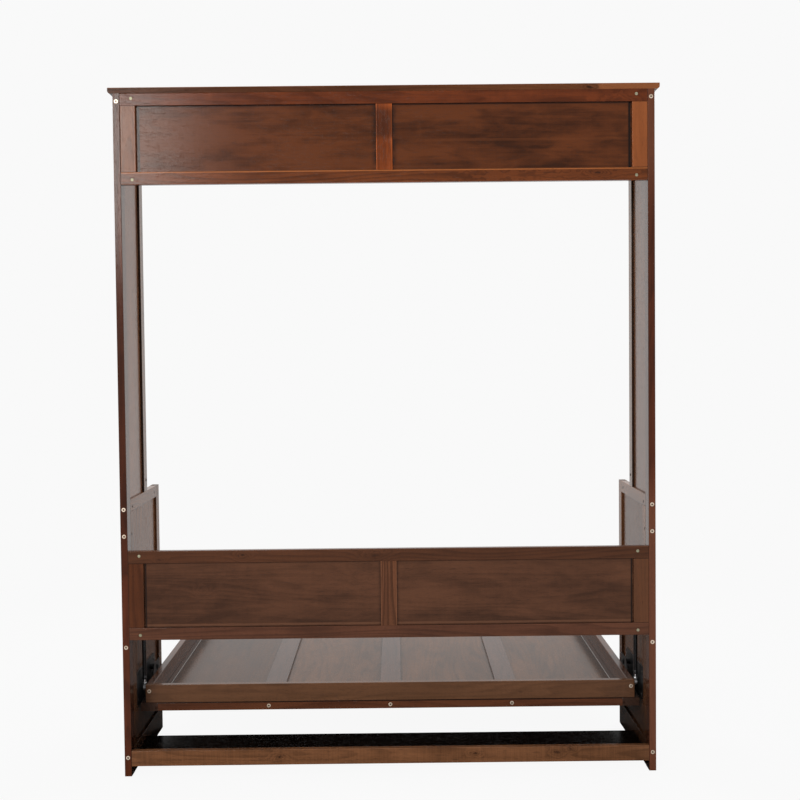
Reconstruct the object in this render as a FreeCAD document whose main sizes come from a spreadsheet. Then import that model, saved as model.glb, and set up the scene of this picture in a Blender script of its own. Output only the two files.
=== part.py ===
import FreeCAD, Part
import Sketcher
import os

# Wall bed, seen from the wall side in its open position.
# X runs to the right of somebody who looks from the wall into the room, Y from the wall
# into the room and Z up. The origin is on the floor, below the middle of the whole bed.

doc = FreeCAD.newDocument("wall_bed")
sheet = doc.addObject("Spreadsheet::Sheet", "Sizes")

SIZES = [
    # Cabinet as a whole
    ("overall_width", 1690, "over the two rear posts"),
    ("frame_height", 2152, "floor to the underside of the cap"),
    ("board_thickness", 22, "posts, stiles and rails of the cabinet"),
    ("edge_radius", 1.5, "softened long edges of every board"),
    ("post_depth", 50, "rear post, wall to room"),
    ("cap_thickness", 18, "board on top"),
    ("cap_overhang", 16, "past the posts and past the tall front stiles"),
    ("cap_edge_radius", 9, "rounded lower edge of the overhang"),
    # Side frames
    ("tall_depth", 314, "upper side frame, wall to its front edge"),
    ("lower_depth", 511, "lower side frame, wall to its front edge"),
    ("lower_height", 877, "floor to the top of the lower side frame"),
    ("rail_height", 39, "frame rails"),
    ("stile_width", 48, "frame stiles"),
    ("side_bottom_height", 81, "bottom rail of the lower side frame"),
    ("panel_thickness", 9, "panels that sit in the middle of their frame"),
    ("tall_panel_thickness", 6, "panel of the upper side frame"),
    ("tall_panel_recess", 7, "inner face of the frame to that panel"),
    ("groove_depth", 9, "groove that holds a panel"),
    ("groove_spare", 1, "room beyond a panel's tongue"),
    ("groove_play", 0.2, "groove wider than the panel by this"),
    # Rear panels
    ("rear_panel_height", 283, "each of the two rear panels"),
    ("middle_panel_top", 718.5, "floor to the top of the middle rear panel"),
    ("centre_stile_width", 50, "stile between the two halves of a rear panel"),
    ("upper_shadow_gap", 8, "open groove beside the end stiles, upper panel"),
    ("middle_shadow_gap", 6, "open groove beside the end stiles, middle panel"),
    ("upper_panel_shift", 2, "upper panels float to one side by this"),
    ("middle_panel_shift", 1, "middle panels float to one side by this"),
    ("tongue_thickness", 4, "thin tongue of a rear panel beside an end stile"),
    # Bottom of the cabinet
    ("bottom_rail_lift", 32, "floor to the rear bottom rail"),
    ("bottom_rail_height", 49, "rear bottom rail"),
    ("base_board_thickness", 18, "board that lies behind the bottom rail"),
    ("base_board_depth", 233, "that board, wall to room"),
    # Bed
    ("head_offset", 139, "wall plane to the outer face of the head rail"),
    ("bed_side_gap", 19.5, "side of the bed to the side frame"),
    ("tray_length", 2079, "outside of the mattress tray"),
    ("tray_rail_height", 60, "rails round the mattress"),
    ("tray_rail_thickness", 22, "rails round the mattress"),
    ("deck_underside", 168.5, "floor to the underside of the deck"),
    ("deck_thickness", 26, "frame of the deck, which is the closed front"),
    ("deck_side_gap", 3, "side of the deck to the side frame"),
    ("deck_edge_width", 56, "outer stile of the deck"),
    ("deck_stile_width", 72, "inner stiles and end rails of the deck"),
    ("deck_bays", 4, "panels side by side in the deck"),
    ("deck_panel_drop", 10, "top of the frame to the top of a panel"),
    # Pivot
    ("pivot_offset", 330, "wall plane to the pivot"),
    ("pivot_height", 267, "floor to the pivot"),
    ("pin_diameter", 12, "pivot pin"),
    ("pin_play", 0.3, "pivot pin in the bed bracket, all round"),
    ("pin_head_diameter", 18, "head of the pivot pin"),
    ("pin_head_height", 4, "head of the pivot pin"),
    ("pin_shoulder_diameter", 18, "shoulder that keeps the bed off the pivot plate"),
    ("plate_thickness", 4, "pivot plate on the side frame"),
    ("plate_length", 290, "pivot plate, wall to room"),
    ("plate_height", 108, "pivot plate"),
    ("plate_start", 110, "wall plane to the pivot plate"),
    ("plate_bottom", 192, "floor to the pivot plate"),
    ("plate_corner_radius", 10, "corners of the steel plates"),
    ("plate_screw_inset", 18, "screws to the edges of the pivot plate"),
    ("bracket_thickness", 3, "bed bracket on the side rail"),
    ("bracket_end_margin", 20, "bracket beyond the strut stud and the pivot"),
    ("bracket_room_margin", 45, "bracket beyond the pivot, towards the foot"),
    ("bracket_lower_edge", 12, "tray rail underside to the bracket"),
    ("bracket_screw_rise", 13, "lower edge of the bracket to its screws"),
    ("bracket_screws", 4, "screws in each bracket"),
    ("bracket_step", 6, "rail top to the low part of the bracket"),
    ("running_gap", 0.3, "between pieces that turn past each other"),
    # Gas struts
    ("strut_line_gap", 10, "side of the bed to the middle of the strut"),
    ("strut_foot_offset", 172, "wall plane to the lower strut stud"),
    ("strut_foot_height", 238, "floor to the lower strut stud"),
    ("strut_top_height", 640, "floor to the upper strut stud"),
    ("strut_tube_diameter", 13.6, "pressure tube"),
    ("strut_rod_showing", 27, "lower stud to the mouth of the tube, strut pushed in"),
    ("strut_bore_diameter", 9, "inside of the pressure tube"),
    ("strut_bore_end_wall", 10, "closed end of the pressure tube"),
    ("strut_rod_diameter", 8, "piston rod"),
    ("strut_rod_spare", 32, "end of the rod to the end of the bore, strut pushed in"),
    ("strut_eye_diameter", 18, "eye at each end"),
    ("strut_eye_width", 9, "eye at each end"),
    ("strut_neck", 14, "middle of an eye to the start of the tube or rod"),
    ("strut_stud_diameter", 8, "studs that carry the strut"),
    ("strut_boss_diameter", 15, "boss of the lower stud, on the bed bracket"),
    ("strut_shoulder_diameter", 14, "shoulder of the upper stud"),
    ("strut_plate_size", 50, "square plate of the upper strut stud"),
    # Legs
    ("leg_size", 44, "square leg at the foot end"),
    ("leg_pivot_drop", 30, "deck underside to the leg pivot"),
    ("leg_side_inset", 100, "side of the bed to the middle of a leg"),
    ("leg_foot_inset", 36, "foot end of the bed to the middle of a leg"),
    ("leg_plate_thickness", 3, "steel bracket that carries a leg"),
    ("leg_plate_margin", 14, "bracket base beyond the leg, wall to room"),
    ("leg_screw_spacing", 30, "between the two screws at each end of that base"),
    ("leg_cheek_depth", 36, "cheeks of the leg bracket, wall to room"),
    ("leg_side_play", 0.5, "leg to each cheek"),
    ("leg_pin_diameter", 8, "pin of the leg"),
    ("leg_pin_overhang", 4, "pin beyond each cheek"),
    # Fasteners
    ("bolt_diameter", 8, "long bolts of the side frames"),
    ("small_bolt_diameter", 6, "bolts of the rear rails and of the bed"),
    ("bolt_head_diameter", 14, "bolt heads"),
    ("bolt_head_height", 3, "bolt heads"),
    ("bolt_head_sink", 0.3, "head below the surface"),
    ("socket_width", 5, "hexagon socket, across its flats"),
    ("socket_depth", 2, "hexagon socket"),
    ("bolt_play", 0.25, "drilled hole round a bolt"),
    ("nut_diameter", 10, "barrel nuts"),
    ("nut_cover", 3, "wood left behind a barrel nut"),
    ("nut_play", 0.1, "drilled hole round a barrel nut"),
    ("nut_reach", 33, "joint to the middle of a barrel nut in a rail end"),
    ("stile_nut_reach", 14, "joint to the middle of a nut in the rear stile"),
    ("rail_nut_reach", 35, "post to the middle of a nut in a rear rail"),
    ("bolt_tip", 6, "bolt beyond the middle of its nut"),
    ("rail_nut_inset", 15.5, "outer edge of a rear rail to its nuts"),
    ("top_bolt_drop", 24, "top of the post to its first bolt"),
    ("shoulder_bolt_drop", 27, "top of the lower side frame to its bolt"),
    ("shoulder_front_drop", 20, "same place to the bolt at the front"),
    ("stile_bolt_drop", 112, "top of the lower side frame to a bolt of its rear stile"),
    ("stile_bolt_low", 412, "floor to a bolt of the rear stile"),
    ("foot_bolt_height", 59, "floor to the lowest bolts"),
    ("bottom_rail_bolt_height", 72, "floor to the bolt of the rear bottom rail"),
    ("tray_bolt_drop", 21, "top of the tray rail to its bolt"),
    ("screw_diameter", 5, "screws of the steel plates"),
    ("screw_head_diameter", 10, "screws of the steel plates"),
    ("screw_head_height", 1.6, "screws of the steel plates"),
    ("screw_length", 6, "screws of the steel plates, in the wood"),
    ("stile_screw_inset", 16, "front edge of the upper side frame to its screw"),
    ("stile_screw_rise", 38, "top of the lower side frame to that screw"),
    ("stile_screw_length", 16, "that screw, in the wood"),
    ("cutter_overrun", 1, "cutters start outside the wood by this"),
]

for row, (alias, value, note) in enumerate(SIZES, start=1):
    sheet.set("A%d" % row, alias)
    sheet.set("B%d" % row, str(value))
    sheet.setAlias("B%d" % row, alias)
    sheet.set("C%d" % row, note)
doc.recompute()


def known(text):
    """Write the sheet's aliases in a formula out as references to the sheet."""
    words = []
    for word in text.replace("(", "( ").replace(")", " )").split():
        words.append("Sizes." + word if word in ALIASES else word)
    return " ".join(words)


ALIASES = {alias for alias, value, note in SIZES}

# Places that several pieces share, as formulas of the sheet's values
half_outside = "( overall_width / 2 )"
half_inside = "( overall_width / 2 - board_thickness )"
middle_panel_bottom = "( middle_panel_top - rear_panel_height )"
upper_panel_bottom = "( frame_height - rear_panel_height )"
panel_setback = "( ( board_thickness - panel_thickness ) / 2 )"
groove_width = "( panel_thickness + groove_play )"
groove_start = "( %s - groove_play / 2 )" % panel_setback
half_bed = "( %s - bed_side_gap )" % half_inside
deck_top = "( deck_underside + deck_thickness )"
rail_top = "( %s + tray_rail_height )" % deck_top
foot_end = "( head_offset + tray_length )"
deck_outside = "( %s - deck_side_gap )" % half_inside
deck_half = "( %s - deck_edge_width )" % deck_outside
bay_pitch = "( ( 2 * %s + deck_stile_width ) / deck_bays )" % deck_half
deck_panel_low = "( %s - deck_panel_drop - panel_thickness )" % deck_top
strut_line = "( %s + strut_line_gap )" % half_bed
strut_closed = "( strut_top_height - strut_foot_height )"
tube_length = "( %s - strut_neck - strut_rod_showing )" % strut_closed
rod_length = "( %s - strut_neck - strut_bore_end_wall - strut_rod_spare )" % strut_closed
bracket_face = "( %s + bracket_thickness )" % half_bed
panel_face = "( %s + %s )" % (half_inside, panel_setback)
plate_face = "( %s - plate_thickness )" % panel_face
leg_middle = "( %s - leg_side_inset )" % half_bed
leg_station = "( %s - leg_foot_inset )" % foot_end
leg_pivot_height = "( deck_underside - leg_pivot_drop )"

DIRECTIONS = {
    "+X": FreeCAD.Vector(1, 0, 0),
    "-X": FreeCAD.Vector(-1, 0, 0),
    "+Y": FreeCAD.Vector(0, 1, 0),
    "-Y": FreeCAD.Vector(0, -1, 0),
    "+Z": FreeCAD.Vector(0, 0, 1),
    "-Z": FreeCAD.Vector(0, 0, -1),
}
PLANES = {"X": "YZ_Plane", "Y": "XZ_Plane", "Z": "XY_Plane"}
NODES = {}


def place(thing, corner):
    """Bind the place of an object to three formulas, the second counted from the wall."""
    across, from_wall, up = corner
    thing.setExpression("Placement.Base.x", known(across))
    thing.setExpression("Placement.Base.y", known("%s - %s / 2" % (from_wall, foot_end)))
    thing.setExpression("Placement.Base.z", known(up))


def node(thing, label):
    """Name a finished sub-part; the label becomes the name of its file."""
    thing.Label = label
    NODES[label] = thing
    return thing


def group(label, pieces):
    """Keep several separate solids together as one named sub-part."""
    bundle = doc.addObject("Part::Compound", "Group_" + label)
    bundle.Links = pieces
    return node(bundle, label)


def mirrored(piece, name):
    """The same piece on the right-hand side of the bed."""
    twin = doc.addObject("Part::Mirroring", name)
    twin.Source = piece
    twin.Base = FreeCAD.Vector(0, 0, 0)
    twin.Normal = FreeCAD.Vector(1, 0, 0)
    return twin


def outline(across, up, grooves=None):
    """Corner points of a board's section, with a groove in any of its four sides.

    A groove is its start along that side, its width and its depth.
    """
    grooves = grooves or {}
    points = [("0", "0")]
    if "under" in grooves:
        start, width, depth = grooves["under"]
        points += [(start, "0"), (start, depth)]
        points += [(start + " + " + width, depth), (start + " + " + width, "0")]
    points.append((across, "0"))
    if "far" in grooves:
        start, width, depth = grooves["far"]
        points += [(across, start), (across + " - " + depth, start)]
        points += [(across + " - " + depth, start + " + " + width), (across, start + " + " + width)]
    points.append((across, up))
    if "over" in grooves:
        start, width, depth = grooves["over"]
        points += [(start + " + " + width, up), (start + " + " + width, up + " - " + depth)]
        points += [(start, up + " - " + depth), (start, up)]
    points.append(("0", up))
    if "near" in grooves:
        start, width, depth = grooves["near"]
        points += [("0", start + " + " + width), (depth, start + " + " + width)]
        points += [(depth, start), ("0", start)]
    return points


def draw(sketch, points):
    """Draw a closed outline whose corners are bound to formulas."""
    origin_point = (-1, 1)
    spread = [FreeCAD.Vector(index, index * index, 0) for index in range(len(points))]
    for index in range(len(points)):
        following = spread[(index + 1) % len(points)]
        sketch.addGeometry(Part.LineSegment(spread[index], following), False)
    for index in range(len(points)):
        following = (index + 1) % len(points)
        sketch.addConstraint(Sketcher.Constraint("Coincident", index, 2, following, 1))
    for index, (across, up) in enumerate(points):
        for kind, axis, text in (("DistanceX", -2, across), ("DistanceY", -1, up)):
            if text == "0":
                sketch.addConstraint(Sketcher.Constraint("PointOnObject", index, 1, axis))
                continue
            named = "%s_%d" % (kind[-1].lower(), index)
            size = sheet_value(text)
            number = sketch.addConstraint(Sketcher.Constraint(kind, *origin_point, index, 1, size))
            sketch.renameConstraint(number, named)
            sketch.setExpression("Constraints." + named, known(text))


def sheet_value(text):
    """The value of a formula now, in millimetres."""
    return float(sheet.evalExpression(known(text)))


def board(name, along, corner, points, length, radius="edge_radius"):
    """A straight board: its section is drawn square to its length and padded along it."""
    body = doc.addObject("PartDesign::Body", name + "_body")
    sketch = body.newObject("Sketcher::SketchObject", name + "_section")
    role = PLANES[along]
    plane = [item for item in body.Origin.OriginFeatures if item.Role == role][0]
    sketch.AttachmentSupport = [(plane, "")]
    sketch.MapMode = "FlatFace"
    draw(sketch, points)
    pad = body.newObject("PartDesign::Pad", name + "_pad")
    pad.Profile = sketch
    pad.Reversed = along == "Y"
    pad.setExpression("Length", known(length))
    doc.recompute()
    if radius:
        soften = body.newObject("PartDesign::Fillet", name + "_softened")
        soften.Base = (pad, corner_edges(pad.Shape, along))
        soften.setExpression("Radius", known(radius))
    place(body, corner)
    doc.recompute()
    return body


def free_edges(shape, upper):
    """Names of the level edges at the top or bottom of the cap, without the one at the wall."""
    tolerance = 1e-4
    box = shape.BoundBox
    level = box.ZMax if upper else box.ZMin
    names = []
    for number, edge in enumerate(shape.Edges, start=1):
        span = edge.BoundBox
        on_level = max(abs(span.ZMin - level), abs(span.ZMax - level)) < tolerance
        if on_level and span.YMax > box.YMin + tolerance:
            names.append("Edge%d" % number)
    return names


def corner_edges(shape, along):
    """Names of the long edges at the four corners of a board."""
    box = shape.BoundBox
    limits = {"X": (box.XMin, box.XMax), "Y": (box.YMin, box.YMax), "Z": (box.ZMin, box.ZMax)}
    letters = [letter for letter in "XYZ" if letter != along]
    tolerance = 1e-4
    names = []
    for number, edge in enumerate(shape.Edges, start=1):
        span = edge.BoundBox
        spans = {"X": (span.XMin, span.XMax), "Y": (span.YMin, span.YMax), "Z": (span.ZMin, span.ZMax)}
        at_corner = True
        for letter in letters:
            low, high = spans[letter]
            thin = high - low < tolerance
            outer = min(abs(low - limits[letter][0]), abs(low - limits[letter][1])) < tolerance
            at_corner = at_corner and thin and outer
        if at_corner:
            names.append("Edge%d" % number)
    return names


def block(name, corner, lengths):
    """A plain box from its lowest corner and its three lengths."""
    box = doc.addObject("Part::Box", name)
    for label, text in zip(("Length", "Width", "Height"), lengths):
        box.setExpression(label, known(text))
    place(box, corner)
    return box


def rod(name, start, direction, diameter, length):
    """A round bar from the middle of one end."""
    bar = doc.addObject("Part::Cylinder", name)
    turn = FreeCAD.Rotation(DIRECTIONS["+Z"], DIRECTIONS[direction])
    bar.Placement = FreeCAD.Placement(FreeCAD.Vector(0, 0, 0), turn)
    bar.setExpression("Radius", known("( %s ) / 2" % diameter))
    bar.setExpression("Height", known(length))
    place(bar, start)
    return bar


def onward(start, direction, distance):
    """A point further along a direction, as three formulas."""
    way = DIRECTIONS[direction]
    moved = []
    for text, share in zip(start, way):
        sign = "+" if share > 0 else "-"
        moved.append("( %s %s ( %s ) )" % (text, sign, distance) if share else text)
    return moved


def joined(name, pieces):
    """Several shapes made one."""
    whole = doc.addObject("Part::MultiFuse", name)
    whole.Shapes = pieces
    return whole


def cut(name, wood, cutters):
    """A piece with holes or notches cut into it."""
    result = doc.addObject("Part::Cut", name)
    result.Base = wood
    result.Tool = cutters[0] if len(cutters) == 1 else joined(name + "_cutters", cutters)
    return result


def bolt(name, head, direction, diameter, reach):
    """A bolt with a flat round head, sunk into the wood, and a hexagon socket."""
    top = onward(head, direction, "bolt_head_sink")
    cap = rod(name + "_head", top, direction, "bolt_head_diameter", "bolt_head_height")
    shank_start = onward(top, direction, "bolt_head_height")
    shank_length = "%s - bolt_head_sink - bolt_head_height" % reach
    shank = rod(name + "_shank", shank_start, direction, diameter, shank_length)
    socket = doc.addObject("Part::Prism", name + "_socket")
    socket.Polygon = 6
    turn = FreeCAD.Rotation(DIRECTIONS["+Z"], DIRECTIONS[direction])
    socket.Placement = FreeCAD.Placement(FreeCAD.Vector(0, 0, 0), turn)
    socket.setExpression("Circumradius", known("socket_width / 2 / cos( 30 deg )"))
    socket.setExpression("Height", known("socket_depth"))
    place(socket, top)
    return cut(name, joined(name + "_solid", [cap, shank]), [socket])


def bolt_joint(name, head, direction, diameter, joint, reach, nut_face, nut_direction, nut_length):
    """A bolt through one piece into the end of the next, with a barrel nut across it.

    The head lies at a face, the joint is that far below it, and the middle of the nut
    is the reach beyond the joint. The nut starts at its own face of the second piece.
    """
    far = "( %s + %s )" % (joint, reach)
    screw = bolt(name + "_bolt", head, direction, diameter, "( %s + bolt_tip )" % far)
    hole = rod(
        name + "_hole",
        onward(head, direction, "0 - cutter_overrun"),
        direction,
        "%s + 2 * bolt_play" % diameter,
        "( %s + bolt_tip + 2 * cutter_overrun )" % far,
    )
    seat = rod(
        name + "_seat",
        onward(head, direction, "0 - cutter_overrun"),
        direction,
        "bolt_head_diameter + 2 * bolt_play",
        "bolt_head_sink + bolt_head_height + cutter_overrun",
    )
    nut_hole = rod(
        name + "_nut_hole",
        onward(nut_face, nut_direction, "0 - cutter_overrun"),
        nut_direction,
        "nut_diameter + 2 * nut_play",
        "%s + cutter_overrun" % nut_length,
    )
    barrel = rod(name + "_barrel", nut_face, nut_direction, "nut_diameter", nut_length)
    thread = rod(name + "_thread", head, direction, diameter, "( %s + bolt_tip )" % far)
    nut = cut(name + "_nut", barrel, [thread])
    return {"bolt": screw, "nut": nut, "drill": joined(name + "_drill", [hole, seat, nut_hole])}


def screw(name, face, direction, length):
    """A low round-headed screw and the drill for it; its head rests on the face."""
    cap = rod(
        name + "_head",
        onward(face, direction, "0 - screw_head_height"),
        direction,
        "screw_head_diameter",
        "screw_head_height",
    )
    shank = rod(name + "_shank", face, direction, "screw_diameter", length)
    hole = rod(
        name + "_hole",
        onward(face, direction, "0 - cutter_overrun"),
        direction,
        "screw_diameter",
        "%s + cutter_overrun" % length,
    )
    return joined(name, [cap, shank]), hole


def side_pair(left_piece, left_label, right_label):
    """Name the left piece and make and name its twin on the right."""
    node(left_piece, left_label)
    node(mirrored(left_piece, "Right_of_" + left_label), right_label)


# Bolted joints of the left side of the cabinet. Posts are bolted to the side frames from
# the wall side, and rear rails are bolted to the posts from outside the cabinet.
left_post_middle = "( 0 - %s + board_thickness / 2 )" % half_outside
left_inner_face = "( 0 - %s )" % half_inside
side_nut_length = "( board_thickness - nut_cover )"


def post_bolt(name, height, reach):
    nut_face = [left_inner_face, "post_depth + " + reach, height]
    return bolt_joint(
        name,
        [left_post_middle, "0", height],
        "+Y",
        "bolt_diameter",
        "post_depth",
        reach,
        nut_face,
        "-X",
        side_nut_length,
    )


def front_bolt(name, depth, height):
    nut_face = [left_inner_face, "%s - stile_width - nut_reach" % depth, height]
    return bolt_joint(
        name,
        [left_post_middle, depth, height],
        "-Y",
        "bolt_diameter",
        "stile_width",
        "nut_reach",
        nut_face,
        "-X",
        side_nut_length,
    )


def rail_bolt(name, height, nut_from_wall=True):
    middle = "( board_thickness / 2 )"
    station = "( %s + rail_nut_reach )" % left_inner_face
    nut_face = [station, "0" if nut_from_wall else "board_thickness", height]
    return bolt_joint(
        name,
        ["( 0 - %s )" % half_outside, middle, height],
        "+X",
        "small_bolt_diameter",
        "board_thickness",
        "rail_nut_reach",
        nut_face,
        "+Y" if nut_from_wall else "-Y",
        side_nut_length,
    )


top_bolt = post_bolt("Top_post", "frame_height - top_bolt_drop", "nut_reach")
shoulder_bolt = post_bolt("Shoulder", "lower_height - shoulder_bolt_drop", "nut_reach")
stile_high_bolt = post_bolt("Stile_high", "lower_height - stile_bolt_drop", "stile_nut_reach")
stile_low_bolt = post_bolt("Stile_low", "stile_bolt_low", "stile_nut_reach")
foot_bolt = post_bolt("Foot", "foot_bolt_height", "nut_reach")

tall_front_bolt = front_bolt("Tall_front", "tall_depth", "frame_height - top_bolt_drop")
shoulder_front_bolt = front_bolt(
    "Shoulder_front", "lower_depth", "lower_height - shoulder_front_drop"
)
foot_front_bolt = front_bolt("Foot_front", "lower_depth", "foot_bolt_height")

upper_top_bolt = rail_bolt("Upper_top", "frame_height - rail_nut_inset")
upper_low_bolt = rail_bolt("Upper_low", "%s + rail_nut_inset" % upper_panel_bottom)
middle_top_bolt = rail_bolt("Middle_top", "middle_panel_top - rail_nut_inset")
middle_low_bolt = rail_bolt("Middle_low", "%s + rail_nut_inset" % middle_panel_bottom)
bottom_bolt = rail_bolt("Bottom_rail", "bottom_rail_bolt_height", False)

post_joints = [top_bolt, shoulder_bolt, stile_high_bolt, stile_low_bolt, foot_bolt]
front_joints = [tall_front_bolt, shoulder_front_bolt, foot_front_bolt]
rail_joints = [upper_top_bolt, upper_low_bolt, middle_top_bolt, middle_low_bolt, bottom_bolt]


def both_sides(joint, name):
    """The drill of a joint and its twin on the other side."""
    return [joint["drill"], mirrored(joint["drill"], name + "_right_drill")]


# Rear posts, full height, grooved for the panels of the side frames
tall_groove_start = "( board_thickness - tall_panel_recess - tall_panel_thickness - groove_play / 2 )"
tall_groove = (tall_groove_start, "( tall_panel_thickness + groove_play )", "groove_depth")
left_corner = "( 0 - %s )" % half_outside

post_section = outline("board_thickness", "post_depth", {"over": tall_groove})
post_board = board("Rear_post", "Z", [left_corner, "0", "0"], post_section, "frame_height")
post_drills = [joint["drill"] for joint in post_joints + rail_joints]
side_pair(cut("Rear_post", post_board, post_drills), "left_rear_post", "right_rear_post")

# Upper side frame: front stile and top rail, with a thin panel between them and the post
front_section = outline("board_thickness", "stile_width", {"under": tall_groove})
tall_front_start = "( tall_depth - stile_width )"
tall_front_board = board(
    "Tall_front_stile",
    "Z",
    [left_corner, tall_front_start, "lower_height"],
    front_section,
    "frame_height - lower_height",
)
stile_screw_face = [left_inner_face, "tall_depth - stile_screw_inset"]
stile_screw_face.append("lower_height + stile_screw_rise")
stile_screw, stile_screw_hole = screw(
    "Stile_screw", stile_screw_face, "-X", "stile_screw_length"
)
tall_front = cut(
    "Tall_front_stile", tall_front_board, [tall_front_bolt["drill"], stile_screw_hole]
)
side_pair(tall_front, "left_tall_front_stile", "right_tall_front_stile")

tall_rail_section = outline("board_thickness", "rail_height", {"under": tall_groove})
tall_rail_board = board(
    "Tall_top_rail",
    "Y",
    [left_corner, "post_depth", "frame_height - rail_height"],
    tall_rail_section,
    "%s - post_depth" % tall_front_start,
)
tall_rail = cut(
    "Tall_top_rail", tall_rail_board, [top_bolt["drill"], tall_front_bolt["drill"]]
)
side_pair(tall_rail, "left_tall_top_rail", "right_tall_top_rail")

tongue = "( groove_depth - groove_spare )"
tall_panel = block(
    "Tall_panel",
    [
        "0 - %s - tall_panel_recess - tall_panel_thickness" % half_inside,
        "post_depth - %s" % tongue,
        "lower_height",
    ],
    [
        "tall_panel_thickness",
        "%s - post_depth + 2 * %s" % (tall_front_start, tongue),
        "frame_height - rail_height + %s - lower_height" % tongue,
    ],
)
side_pair(tall_panel, "left_tall_panel", "right_tall_panel")

# Lower side frame: it stands further into the room and carries the pivot of the bed
side_groove = (groove_start, groove_width, "groove_depth")
lower_front_start = "( lower_depth - stile_width )"
lower_front_board = board(
    "Lower_front_stile",
    "Z",
    [left_corner, lower_front_start, "0"],
    outline("board_thickness", "stile_width", {"under": side_groove}),
    "lower_height",
)
lower_front = cut(
    "Lower_front_stile",
    lower_front_board,
    [shoulder_front_bolt["drill"], foot_front_bolt["drill"]],
)
side_pair(lower_front, "left_lower_front_stile", "right_lower_front_stile")

lower_rail_length = "%s - post_depth" % lower_front_start
lower_top_board = board(
    "Lower_top_rail",
    "Y",
    [left_corner, "post_depth", "lower_height - rail_height"],
    outline("board_thickness", "rail_height", {"under": side_groove}),
    lower_rail_length,
)
lower_top = cut(
    "Lower_top_rail", lower_top_board, [shoulder_bolt["drill"], shoulder_front_bolt["drill"]]
)
side_pair(lower_top, "left_lower_top_rail", "right_lower_top_rail")

lower_bottom_board = board(
    "Lower_bottom_rail",
    "Y",
    [left_corner, "post_depth", "0"],
    outline("board_thickness", "side_bottom_height", {"over": side_groove}),
    lower_rail_length,
)
lower_bottom = cut(
    "Lower_bottom_rail", lower_bottom_board, [foot_bolt["drill"], foot_front_bolt["drill"]]
)
side_pair(lower_bottom, "left_lower_bottom_rail", "right_lower_bottom_rail")

lower_rear_board = board(
    "Lower_rear_stile",
    "Z",
    [left_corner, "post_depth", "side_bottom_height"],
    outline("board_thickness", "stile_width", {"over": side_groove}),
    "lower_height - rail_height - side_bottom_height",
)
lower_rear = cut(
    "Lower_rear_stile", lower_rear_board, [stile_high_bolt["drill"], stile_low_bolt["drill"]]
)
side_pair(lower_rear, "left_lower_rear_stile", "right_lower_rear_stile")

lower_panel_start = "( post_depth + stile_width - %s )" % tongue
lower_panel = block(
    "Lower_panel",
    [
        "0 - %s - panel_thickness" % panel_face,
        lower_panel_start,
        "side_bottom_height - %s" % tongue,
    ],
    [
        "panel_thickness",
        "%s + %s - %s" % (lower_front_start, tongue, lower_panel_start),
        "lower_height - rail_height - side_bottom_height + 2 * %s" % tongue,
    ],
)

# Rear panels: two rails, two end stiles, a centre stile and two panels each
rear_groove = (groove_start, groove_width, "groove_depth")
thin_start = "( %s + panel_thickness - tongue_thickness - groove_play / 2 )" % panel_setback
thin_groove = (thin_start, "( tongue_thickness + groove_play )", "groove_depth")


def rear_panel(name, top, gap, shift, top_joint, low_joint):
    """One framed panel across the back, between the posts."""
    title = name.capitalize()
    bottom = "( %s - rear_panel_height )" % top
    rail_length = "2 * %s" % half_inside
    top_board = board(
        title + "_top_rail",
        "X",
        [left_inner_face, "0", "%s - rail_height" % top],
        outline("board_thickness", "rail_height", {"under": rear_groove}),
        rail_length,
    )
    top_drills = both_sides(top_joint, title + "_top")
    node(cut(title + "_top_rail", top_board, top_drills), name + "_top_rail")
    low_board = board(
        title + "_bottom_rail",
        "X",
        [left_inner_face, "0", bottom],
        outline("board_thickness", "rail_height", {"over": rear_groove}),
        rail_length,
    )
    low_drills = both_sides(low_joint, title + "_bottom")
    node(cut(title + "_bottom_rail", low_board, low_drills), name + "_bottom_rail")

    stile_bottom = "( %s + rail_height )" % bottom
    stile_length = "rear_panel_height - 2 * rail_height"
    end_stile = board(
        title + "_end_stile",
        "Z",
        [left_inner_face, "0", stile_bottom],
        outline("stile_width", "board_thickness", {"far": thin_groove}),
        stile_length,
    )
    group(name + "_end_stiles", [end_stile, mirrored(end_stile, title + "_end_stile_right")])

    centre_stile = board(
        title + "_centre_stile",
        "Z",
        ["0 - centre_stile_width / 2", "0", stile_bottom],
        outline("centre_stile_width", "board_thickness", {"near": rear_groove, "far": rear_groove}),
        stile_length,
    )
    node(centre_stile, name + "_centre_stile")

    # Each panel has a full edge at the centre stile and, beside the open groove at the
    # end stile, only its thin tongue.
    full = "( %s - stile_width - centre_stile_width / 2 + 2 * %s )" % (half_inside, tongue)
    left_thin = "( %s + %s - %s )" % (tongue, gap, shift)
    right_thin = "( %s - ( %s + %s + %s ) )" % (full, tongue, gap, shift)
    step = "( panel_thickness - tongue_thickness )"
    back = "panel_thickness"
    left_points = [("0", step), (left_thin, step), (left_thin, "0"), (full, "0")]
    left_points += [(full, back), ("0", back)]
    right_points = [("0", "0"), (right_thin, "0"), (right_thin, step), (full, step)]
    right_points += [(full, back), ("0", back)]
    starts = {
        "left": "0 - %s + stile_width - %s" % (half_inside, tongue),
        "right": "centre_stile_width / 2 - %s" % tongue,
    }
    panels = []
    for side, points in (("left", left_points), ("right", right_points)):
        panels.append(
            board(
                "%s_%s_panel" % (title, side),
                "Z",
                [starts[side], panel_setback, "%s - %s" % (stile_bottom, tongue)],
                points,
                "%s + 2 * %s" % (stile_length, tongue),
                None,
            )
        )
    group(name + "_panels", panels)


rear_panel(
    "upper",
    "frame_height",
    "upper_shadow_gap",
    "upper_panel_shift",
    upper_top_bolt,
    upper_low_bolt,
)
rear_panel(
    "middle",
    "middle_panel_top",
    "middle_shadow_gap",
    "middle_panel_shift",
    middle_top_bolt,
    middle_low_bolt,
)

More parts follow.
